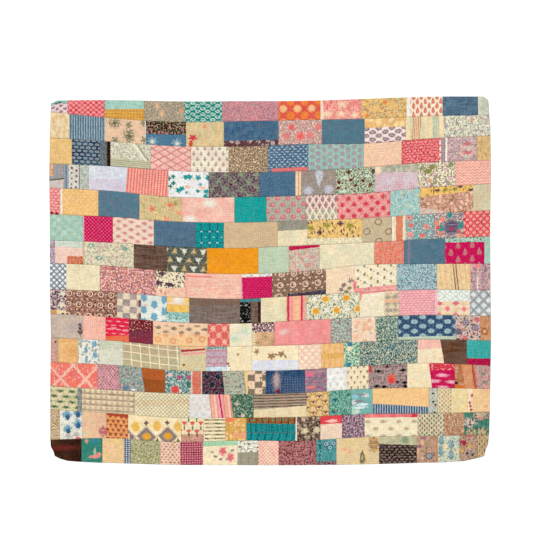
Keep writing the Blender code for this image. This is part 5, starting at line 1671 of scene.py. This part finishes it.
# %% Heights of the cloth
SEAM_MM = 3.2
SWELL_MM = 1.2
FURROW_MM = 0.36
WRINKLE_MM = 0.22
HEM_AT_CM = (0, 0.02, 0.06, 0.12, 0.2, 0.5, 0.8, 0.95, 1.15, 1.5)
HEM_MM = (1.0, 1.75, 2.4, 2.8, 3.0, 3.7, 3.3, 2.8, 3.2, 4.4)
NO_SEAM_CM = 9.0


def patch_ends(strip, share):
    """x of the left side, of each patch seam and of the right side, a row for each share of the strip."""
    share = np.atleast_1d(share)
    depth = (1 - share) * SEAMS_CM[strip][1][0] + share * SEAMS_CM[strip + 1][1][0]
    columns = [np.interp(depth, SIDE_DEPTHS_CM, LEFT_CM)]
    for end, *_ in PATCHES[strip][:-1]:
        columns.append((1 - share) * end[0] + share * end[1])
    columns.append(np.interp(depth, SIDE_DEPTHS_CM, RIGHT_CM))
    return np.stack(columns, axis=-1)


def depth_at(strip, x, share):
    """Depth under the top of the cloth: the two seams of the strip, blended by the share."""
    return (1 - share) * seam_depth(strip, x) + share * seam_depth(strip + 1, x)


def swell(gap, reach):
    """0 at a seam, 1 from `reach` on, smooth at both ends: 3 t**2 - 2 t**3."""
    t = np.clip(gap / reach, 0, 1)
    return t * t * (3 - 2 * t)


def cloth_height(strip, x, share):
    """Height of the face in metres at x (cm) and at a share of the strip's depth, all flat arrays."""
    ends = patch_ends(strip, share)
    tall = seam_depth(strip + 1, x) - seam_depth(strip, x)
    depth = depth_at(strip, x, share)
    upper, lower = share * tall, (1 - share) * tall
    across = np.minimum(x - ends[:, 0], ends[:, -1] - x)
    rim = across
    if strip == 0:
        rim = np.minimum(rim, upper)
        upper = np.full_like(upper, NO_SEAM_CM)
    if strip == STRIP_COUNT - 1:
        rim = np.minimum(rim, lower)
        lower = np.full_like(lower, NO_SEAM_CM)
    beside = np.abs(x[:, None] - ends[:, 1:-1]).min(axis=1)
    furrow = FURROW_MM * np.cos(FULL_TURN * STITCH_ROWS * share)
    folds = np.sin(0.31 * x + 0.9 * depth) + np.sin(0.17 * x - 0.53 * depth + 2)
    folds = folds + np.sin(0.05 * x + 0.24 * depth)
    swelling = (SWELL_MM + furrow + WRINKLE_MM * folds / 2) * swell(np.minimum(upper, lower), 0.7)
    height = SEAM_MM + swelling * (0.35 + 0.65 * swell(beside, 0.6))
    return np.minimum(height, np.interp(rim, HEM_AT_CM, HEM_MM)) * MM


# %% [markdown]
# ## The strips
# A maker sews patches into a strip and then strips into a cloth, so each strip is one closed piece
# here. It is a grid: columns run down the strip and lie close together at each patch seam, and rows
# run along it, four to each row of stitches. A flat underside closes it.

# %% Columns and rows of a strip
COLUMN_GAP_CM = 1.35
SEAM_COLUMNS_CM = (0.0, 0.3, 0.6)
EDGE_STRIP_CM = 14.5
STRIP_FLOOR_MM = 0.3
STRIP_GAP_CM = 0.005


def column_shares(width, first, last):
    """Where the columns of one patch lie, as shares of its width, with finer ones at its two sides."""
    near = np.array(HEM_AT_CM if first else SEAM_COLUMNS_CM)
    far = width - np.array(HEM_AT_CM if last else SEAM_COLUMNS_CM)[::-1]
    count = max(2, round((far[0] - near[-1]) / COLUMN_GAP_CM) + 1)
    middle = np.linspace(near[-1], far[0], count)[1:-1]
    return np.concatenate((near, middle, far[:-1])) / width


def row_shares(strip):
    """Rows from 0 to 1: four to each row of stitches, and finer ones at an outer edge."""
    shares = np.linspace(0, 1, 4 * STITCH_ROWS + 1)
    rim = np.array(HEM_AT_CM[1:-1]) / EDGE_STRIP_CM
    if strip == 0:
        shares = np.unique(np.concatenate((rim, shares)))
    if strip == STRIP_COUNT - 1:
        shares = np.unique(np.concatenate((1 - rim, shares)))
    return shares


# %% One strip as a closed grid
def strip_grid(strip):
    """x, depth and height of each point of the face (rows by columns), and each column's patch."""
    shares = row_shares(strip)
    ends = patch_ends(strip, shares)
    count = ends.shape[1] - 1
    patch_of, across = [], []
    for patch in range(count):
        width = ends[0, patch + 1] - ends[0, patch]
        part = column_shares(width, patch == 0, patch == count - 1)
        patch_of.append(np.full(len(part), patch))
        across.append(part)
    patch_of = np.concatenate(patch_of + [[count - 1]])
    across = np.concatenate(across + [[1.0]])
    x = ends[:, patch_of] * (1 - across) + ends[:, patch_of + 1] * across
    share = np.broadcast_to(shares[:, None], x.shape)
    depth = depth_at(strip, x, share)
    height = cloth_height(strip, x.ravel(), share.ravel()).reshape(x.shape)
    return SimpleNamespace(x=x, share=share, depth=depth, height=height, patch_of=patch_of)


def closed_ring(face, strip):
    """The face's rows and two more under them, so that each column is a closed ring."""
    depth = face.depth.copy()
    if strip > 0:
        depth[0] += STRIP_GAP_CM
    if strip < STRIP_COUNT - 1:
        depth[-1] -= STRIP_GAP_CM
    floor = np.full((1, face.x.shape[1]), STRIP_FLOOR_MM * MM)
    x, y = in_frame(np.vstack((face.x, face.x[-1:], face.x[:1])), np.vstack((depth, depth[-1:], depth[:1])))
    z = np.vstack((face.height, floor, floor))
    return np.stack((x, y, z), axis=-1)


def ring_faces(rows, columns):
    """Quads from each column's ring to the next one's, and the two end caps."""
    index = np.arange(rows * columns).reshape(rows, columns)
    below_it = np.roll(index, -1, axis=0)
    quads = np.stack((index[:, :-1], below_it[:, :-1], below_it[:, 1:], index[:, 1:]), axis=-1)
    return quads.reshape(-1, 4), index[::-1, 0], index[:, -1]


# %% [markdown]
# ## Maps on the cloth
# The prints need to know where they are on the cloth, so each corner of each face carries a map in
# metres: along the strip, and down from its upper seam, so that a print follows its own strip. A
# second map counts the stitches. A third one folds the long strip into four rows of a square, which
# is how a long ribbon keeps its sharpness when its print is baked to a picture.

# %% The three maps
FOLD_COUNT = 4
FOLD_CM = 69.0
FOLD_SPAN_CM = 72.0
FOLD_DOWN_CM = 16.8
FOLD_TALL = 0.215
FLOOR_TALL = 0.03


def strip_maps(face, quads, rows, columns):
    """For each quad's corners: the cloth map, the stitch map and the folded map."""
    ring_rows, ring_columns = np.divmod(quads, columns)
    on_face = np.clip(ring_rows, 0, rows - 3)
    x = face.x[on_face, ring_columns]
    upper = face.depth[0, ring_columns]
    down = face.depth[on_face, ring_columns] - upper
    under = (ring_rows > rows - 3).any(axis=1, keepdims=True)
    cloth = np.stack((x * CM, down * CM), axis=-1)
    share = face.share[on_face, ring_columns]
    rows_map = np.stack((x / STITCH_PITCH_CM, share * STITCH_ROWS), axis=-1)
    fold = np.clip(x.mean(axis=1, keepdims=True) // FOLD_CM, 0, FOLD_COUNT - 1)
    along = (x - fold * FOLD_CM + 1) / FOLD_SPAN_CM
    on_top = (fold + down / FOLD_DOWN_CM) * FOLD_TALL
    floor_row = np.where(ring_rows == rows - 2, 1.0, 0.0) + 0 * x
    under_it = FOLD_COUNT * FOLD_TALL + (fold + 0.1 + 0.8 * floor_row) * FLOOR_TALL
    folded = np.stack((along, np.where(under, under_it, on_top)), axis=-1)
    return {"cloth": cloth, "rows": rows_map, "OFBake": folded}


def write_maps(mesh, maps, spare_corners):
    """Write each map's corners in face order, then the caps' corners at one place."""
    for name, corners in maps.items():
        layer = mesh.uv_layers.new(name=name)
        flat = corners.reshape(-1, 2)
        spare = np.repeat(flat[-1:], spare_corners, axis=0)
        layer.uv.foreach_set("vector", np.vstack((flat, spare)).astype(np.float32).ravel())
    mesh.uv_layers["cloth"].active_render = True


def link_piece(name, mesh):
    """An object at the origin for a finished mesh, riding on the one body of the cloth."""
    piece_object = bpy.data.objects.new(name, mesh)
    bpy.context.scene.collection.objects.link(piece_object)
    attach(piece_object, "root")
    return piece_object


# %% Sew the fifteen strips
def sew_strip(strip):
    """One strip: its grid, its maps, and a material for each of its patches."""
    face = strip_grid(strip)
    ring = closed_ring(face, strip)
    rows, columns, _ = ring.shape
    quads, left_cap, right_cap = ring_faces(rows, columns)
    mesh = bpy.data.meshes.new(f"strip_{strip + 1:02d}")
    mesh.from_pydata(ring.reshape(-1, 3), [], quads.tolist() + [left_cap.tolist(), right_cap.tolist()])
    write_maps(mesh, strip_maps(face, quads, rows, columns), 2 * rows)
    mesh.polygons.foreach_set("use_smooth", np.ones(len(mesh.polygons), dtype=bool))
    patch_of_quad = face.patch_of[quads[:, 0] % columns]
    material_of = np.concatenate((patch_of_quad, [0, face.patch_of[-1]])).astype(np.int32)
    mesh.polygons.foreach_set("material_index", material_of)
    top_ends, low_ends = patch_ends(strip, np.array([0.0, 1.0]))
    for number, (_, ground, *layers) in enumerate(PATCHES[strip]):
        left = (top_ends[number], low_ends[number])
        right = (top_ends[number + 1], low_ends[number + 1])
        name = f"patch_{strip + 1:02d}_{number + 1:02d}"
        mesh.materials.append(patch_material(name, strip, left, right, ground, layers))
    mesh.update()
    return link_piece(mesh.name, mesh)


strips = [sew_strip(strip) for strip in range(STRIP_COUNT)]
print(len(strips), "strips,", sum(len(strip.data.polygons) for strip in strips), "faces")

# %% [markdown]
# ## The back of the cloth
# The picture never shows the back, so it is finished plainly: one undyed cotton cloth, a thin closed
# sheet under all the strips, with the same outline. The running stitches come through, so its
# material shows them as short pale dashes in a print of their own.

# %% Outline grid of the back
BACK_COLUMNS = 96
BACK_ROW_CM = 1.09
BACK_MM = 0.25
BACK_BULGE_CM = 0.03


def back_grid():
    """x and depth of a grid over the whole cloth: four rows to each strip."""
    rows = []
    for strip in range(STRIP_COUNT):
        last = strip == STRIP_COUNT - 1
        for share in np.linspace(0, 1, 5)[: 5 if last else 4]:
            ends = patch_ends(strip, share)[0]
            x = np.linspace(ends[0], ends[-1], BACK_COLUMNS)
            rows.append(np.stack((x, depth_at(strip, x, share)), axis=-1))
    return np.array(rows)


def back_mesh():
    """Closed sheet: upper grid, lower grid, and a rim between them that bulges a little."""
    grid_cm = back_grid()
    rows, columns, _ = grid_cm.shape
    index = np.arange(rows * columns).reshape(rows, columns)
    rim = np.concatenate((index[:, 0], index[-1, 1:], index[-2::-1, -1], index[0, -2:0:-1]))
    x, y = in_frame(grid_cm[..., 0].ravel(), grid_cm[..., 1].ravel())
    ring = np.column_stack((x, y))[rim]
    along = np.roll(ring, -1, axis=0) - np.roll(ring, 1, axis=0)
    out = np.column_stack((along[:, 1], -along[:, 0]))
    ring = ring + out / np.linalg.norm(out, axis=1, keepdims=True) * BACK_BULGE_CM * CM
    upper = np.column_stack((x, y, np.full(len(x), BACK_MM * MM)))
    lower = np.column_stack((x, y, np.zeros(len(x))))
    middle = np.column_stack((ring, np.full(len(ring), BACK_MM * MM / 2)))
    points = np.vstack((upper, lower, middle))
    quads = np.stack((index[:-1, :-1], index[1:, :-1], index[1:, 1:], index[:-1, 1:]), axis=-1).reshape(-1, 4)
    rim_middle = 2 * len(x) + np.arange(len(rim))
    faces = [quads, quads[:, ::-1] + len(x)]
    for top_ring, low_ring in ((rim, rim_middle), (rim_middle, rim + len(x))):
        faces.append(np.stack((top_ring, low_ring, np.roll(low_ring, -1), np.roll(top_ring, -1)), axis=-1))
    return points, np.vstack(faces), len(quads)


# %% Material of the back
def back_material():
    """Undyed cotton: warm white with slubs, dashes of thread, and a weave in the bump."""
    material, shader = new_material("undyed_back")
    at = place_on_cloth(0, 0.0, STATIONS_CM[-1])
    row = at.straight_y / BACK_ROW_CM
    along = maths("FRACT", at.straight_x / STITCH_PITCH_CM + maths("FLOOR", row) * 0.5)
    dash = both(size_of(along - 0.5) * 3.6, size_of(maths("FRACT", row) - 0.5) * 34)
    color = laid(at, d.ecru, [slub(d.straw, 0.5), mottle(d.cream, 14, 0.5)])
    color = mix(below(dash, 1, 0.1), color, d.milk)
    furrow = maths("COSINE", maths("FRACT", row) * FULL_TURN)
    finish_cloth(shader, color, puckers(at) * 0.5 + furrow * 0.25 + weave_mm(at))
    return material


# %% The back as a piece
BAKE_WIDE = 2.8
HIDDEN_TALL = 0.1
points, faces, face_count = back_mesh()
mesh = bpy.data.meshes.new("cloth_back")
mesh.from_pydata(points, [], faces.tolist())
corner_points = points[faces]
flat_map = np.stack((corner_points[..., 0] - CORNER_X, CORNER_Y - corner_points[..., 1]), axis=-1)
bake_map = flat_map / BAKE_WIDE
bake_map[:face_count, :, 1] = 1 - HIDDEN_TALL + bake_map[:face_count, :, 1] * HIDDEN_TALL
write_maps(mesh, {"cloth": flat_map, "OFBake": bake_map}, 0)
mesh.polygons.foreach_set("use_smooth", np.ones(len(mesh.polygons), dtype=bool))
mesh.materials.append(back_material())
mesh.update()
back = link_piece("cloth_back", mesh)
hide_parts("bedspread")
print("back:", len(mesh.polygons), "faces")

# %% [markdown]
# ## The running stitch
# A kantha is held by thousands of small hand stitches in long rows, each row half a step on from its
# neighbour. Each stitch that shows is a short thread that dips into the cloth at both ends: a spindle
# with a point at each end and three points round its middle is enough, since there are tens of
# thousands.

# %% Places of the stitches
STITCH_LONG_CM = 0.56
STITCH_WIDE_CM = 0.055
STITCH_PROUD_MM = 0.22
STITCH_SUNK_MM = 0.1
HEM_CLEAR_CM = 1.2


def stitch_places(strip, shake):
    """x and share of each stitch of a strip, with a small hand-made shake in each place."""
    places = []
    for row in range(STITCH_ROWS):
        share = (row + 0.5) / STITCH_ROWS
        ends = patch_ends(strip, share)[0]
        count = int((ends[-1] - ends[0] - 2 * HEM_CLEAR_CM) / STITCH_PITCH_CM)
        x = ends[0] + HEM_CLEAR_CM + (np.arange(count) + 0.5 * (row % 2)) * STITCH_PITCH_CM
        x = x + shake.uniform(-0.12, 0.12, count)
        places.append(np.column_stack((x, share + shake.uniform(-0.004, 0.004, count))))
    return np.vstack(places)


def spindle_mesh(strip, x, share):
    """Points and triangles of all spindles of a strip, each along the slope of its row."""
    half = STITCH_LONG_CM / 2
    depth = depth_at(strip, x, share)
    slope = (depth_at(strip, x + half, share) - depth_at(strip, x - half, share)) / (2 * half)
    height = cloth_height(strip, x, share)
    corners = (
        (-half, 0, -STITCH_SUNK_MM), (half, 0, -STITCH_SUNK_MM),
        (0, -STITCH_WIDE_CM / 2, 0), (0, STITCH_WIDE_CM / 2, 0), (0, 0, STITCH_PROUD_MM),
    )
    points = []
    for step, side, lift in corners:
        px, py = in_frame(x + step, depth + step * slope + side)
        points.append(np.column_stack((px, py, height + lift * MM)))
    points = np.stack(points, axis=1)
    shape = np.array(((0, 4, 2), (0, 3, 4), (0, 2, 3), (1, 2, 4), (1, 4, 3), (1, 3, 2)))
    triangles = (np.arange(len(x)) * len(corners))[:, None, None] + shape[None]
    return points.reshape(-1, 3), triangles.reshape(-1, 3)


# %% Thread material and the stitched rows
STRIPS_IN_GROUP = 5
SPINDLE_POINTS = 5


def thread_material():
    """Cotton thread: cream, matte, one colour."""
    material, shader = new_material("cream_thread")
    shader.inputs["Base Color"].default_value = d.cream
    set_finish(shader, 0.75, 0.25)
    return material


thread = thread_material()
shake = np.random.default_rng(15)
stitching = []
for group in range(0, STRIP_COUNT, STRIPS_IN_GROUP):
    points, triangles, offset = [], [], 0
    for strip in range(group, group + STRIPS_IN_GROUP):
        places = stitch_places(strip, shake)
        strip_points, strip_triangles = spindle_mesh(strip, places[:, 0], places[:, 1])
        points.append(strip_points)
        triangles.append(strip_triangles + offset)
        offset += len(strip_points)
    mesh = bpy.data.meshes.new(f"stitching_{group // STRIPS_IN_GROUP + 1}")
    mesh.from_pydata(np.vstack(points), [], np.vstack(triangles).tolist())
    mesh.materials.append(thread)
    stitching.append(link_piece(mesh.name, mesh))
print("stitches:", sum(len(rows.data.vertices) for rows in stitching) // SPINDLE_POINTS)

# %% [markdown]
# ## Floor and light
# The cloth lies on a plain pale floor. Light from a large far window at the upper left and an even sky
# round it keep every dye true from side to side, and the slant of the light brings out the furrows.

# %% Floor
FLOOR_SIZE = 60.0
FLOOR_Z = -0.0002


def floor_material():
    """Smooth white paint with a faint cloudy tone."""
    material, shader = new_material("pale_floor")
    where = add_node("ShaderNodeTexCoord", {})
    scaled = {0: Value(where.outputs["Object"]), 1: (2, 2, 2), 2: (0, 0, 0)}
    place = Value(add_node("ShaderNodeVectorMath", scaled, operation="MULTIPLY_ADD").outputs[0])
    tone = Value(add_node("ShaderNodeTexNoise", {"Vector": place, "Scale": 1.0}).outputs[0])
    color = mix(below(tone, 0.5, 0.2), dye(252, 252, 252), dye(250, 250, 250))
    bench.tree.links.new(color.socket, shader.inputs["Base Color"])
    set_finish(shader, 0.9, 0.1)
    return material


mesh = bpy.data.meshes.new("floor")
half = FLOOR_SIZE / 2
corners = [(-half, -half, FLOOR_Z), (half, -half, FLOOR_Z), (half, half, FLOOR_Z), (-half, half, FLOOR_Z)]
mesh.from_pydata(corners, [], [(0, 1, 2, 3)])
mesh.materials.append(floor_material())
floor = bpy.data.objects.new("floor", mesh)
bpy.context.scene.collection.objects.link(floor)

# %% Window light and sky
SKY_STRENGTH = 0.62
WINDOW_STRENGTH = 2.2
WINDOW_SPREAD = 0.5
WINDOW_TURN = (0.78, 0, -2.36)


def window_light(turn, strength, spread):
    """Light from one side, as even as a large far window: a sun lamp with a wide disc."""
    data = bpy.data.lights.new("window light", "SUN")
    data.energy = strength
    data.angle = spread
    lamp = bpy.data.objects.new("window light", data)
    lamp.rotation_euler = turn
    bpy.context.scene.collection.objects.link(lamp)
    return lamp


window_light(WINDOW_TURN, WINDOW_STRENGTH, WINDOW_SPREAD)
world = bpy.data.worlds.new("even sky")
world.use_nodes = True
world.node_tree.nodes["Background"].inputs["Color"].default_value = (1, 1, 1, 1)
world.node_tree.nodes["Background"].inputs["Strength"].default_value = SKY_STRENGTH
bpy.context.scene.world = world
bpy.context.scene.view_settings.view_transform = "Standard"

# %% [markdown]
# ## The whole cloth
# The strips, the back and the stitching are one laid-out sheet, cut to queen size: 108 by 90 inches.
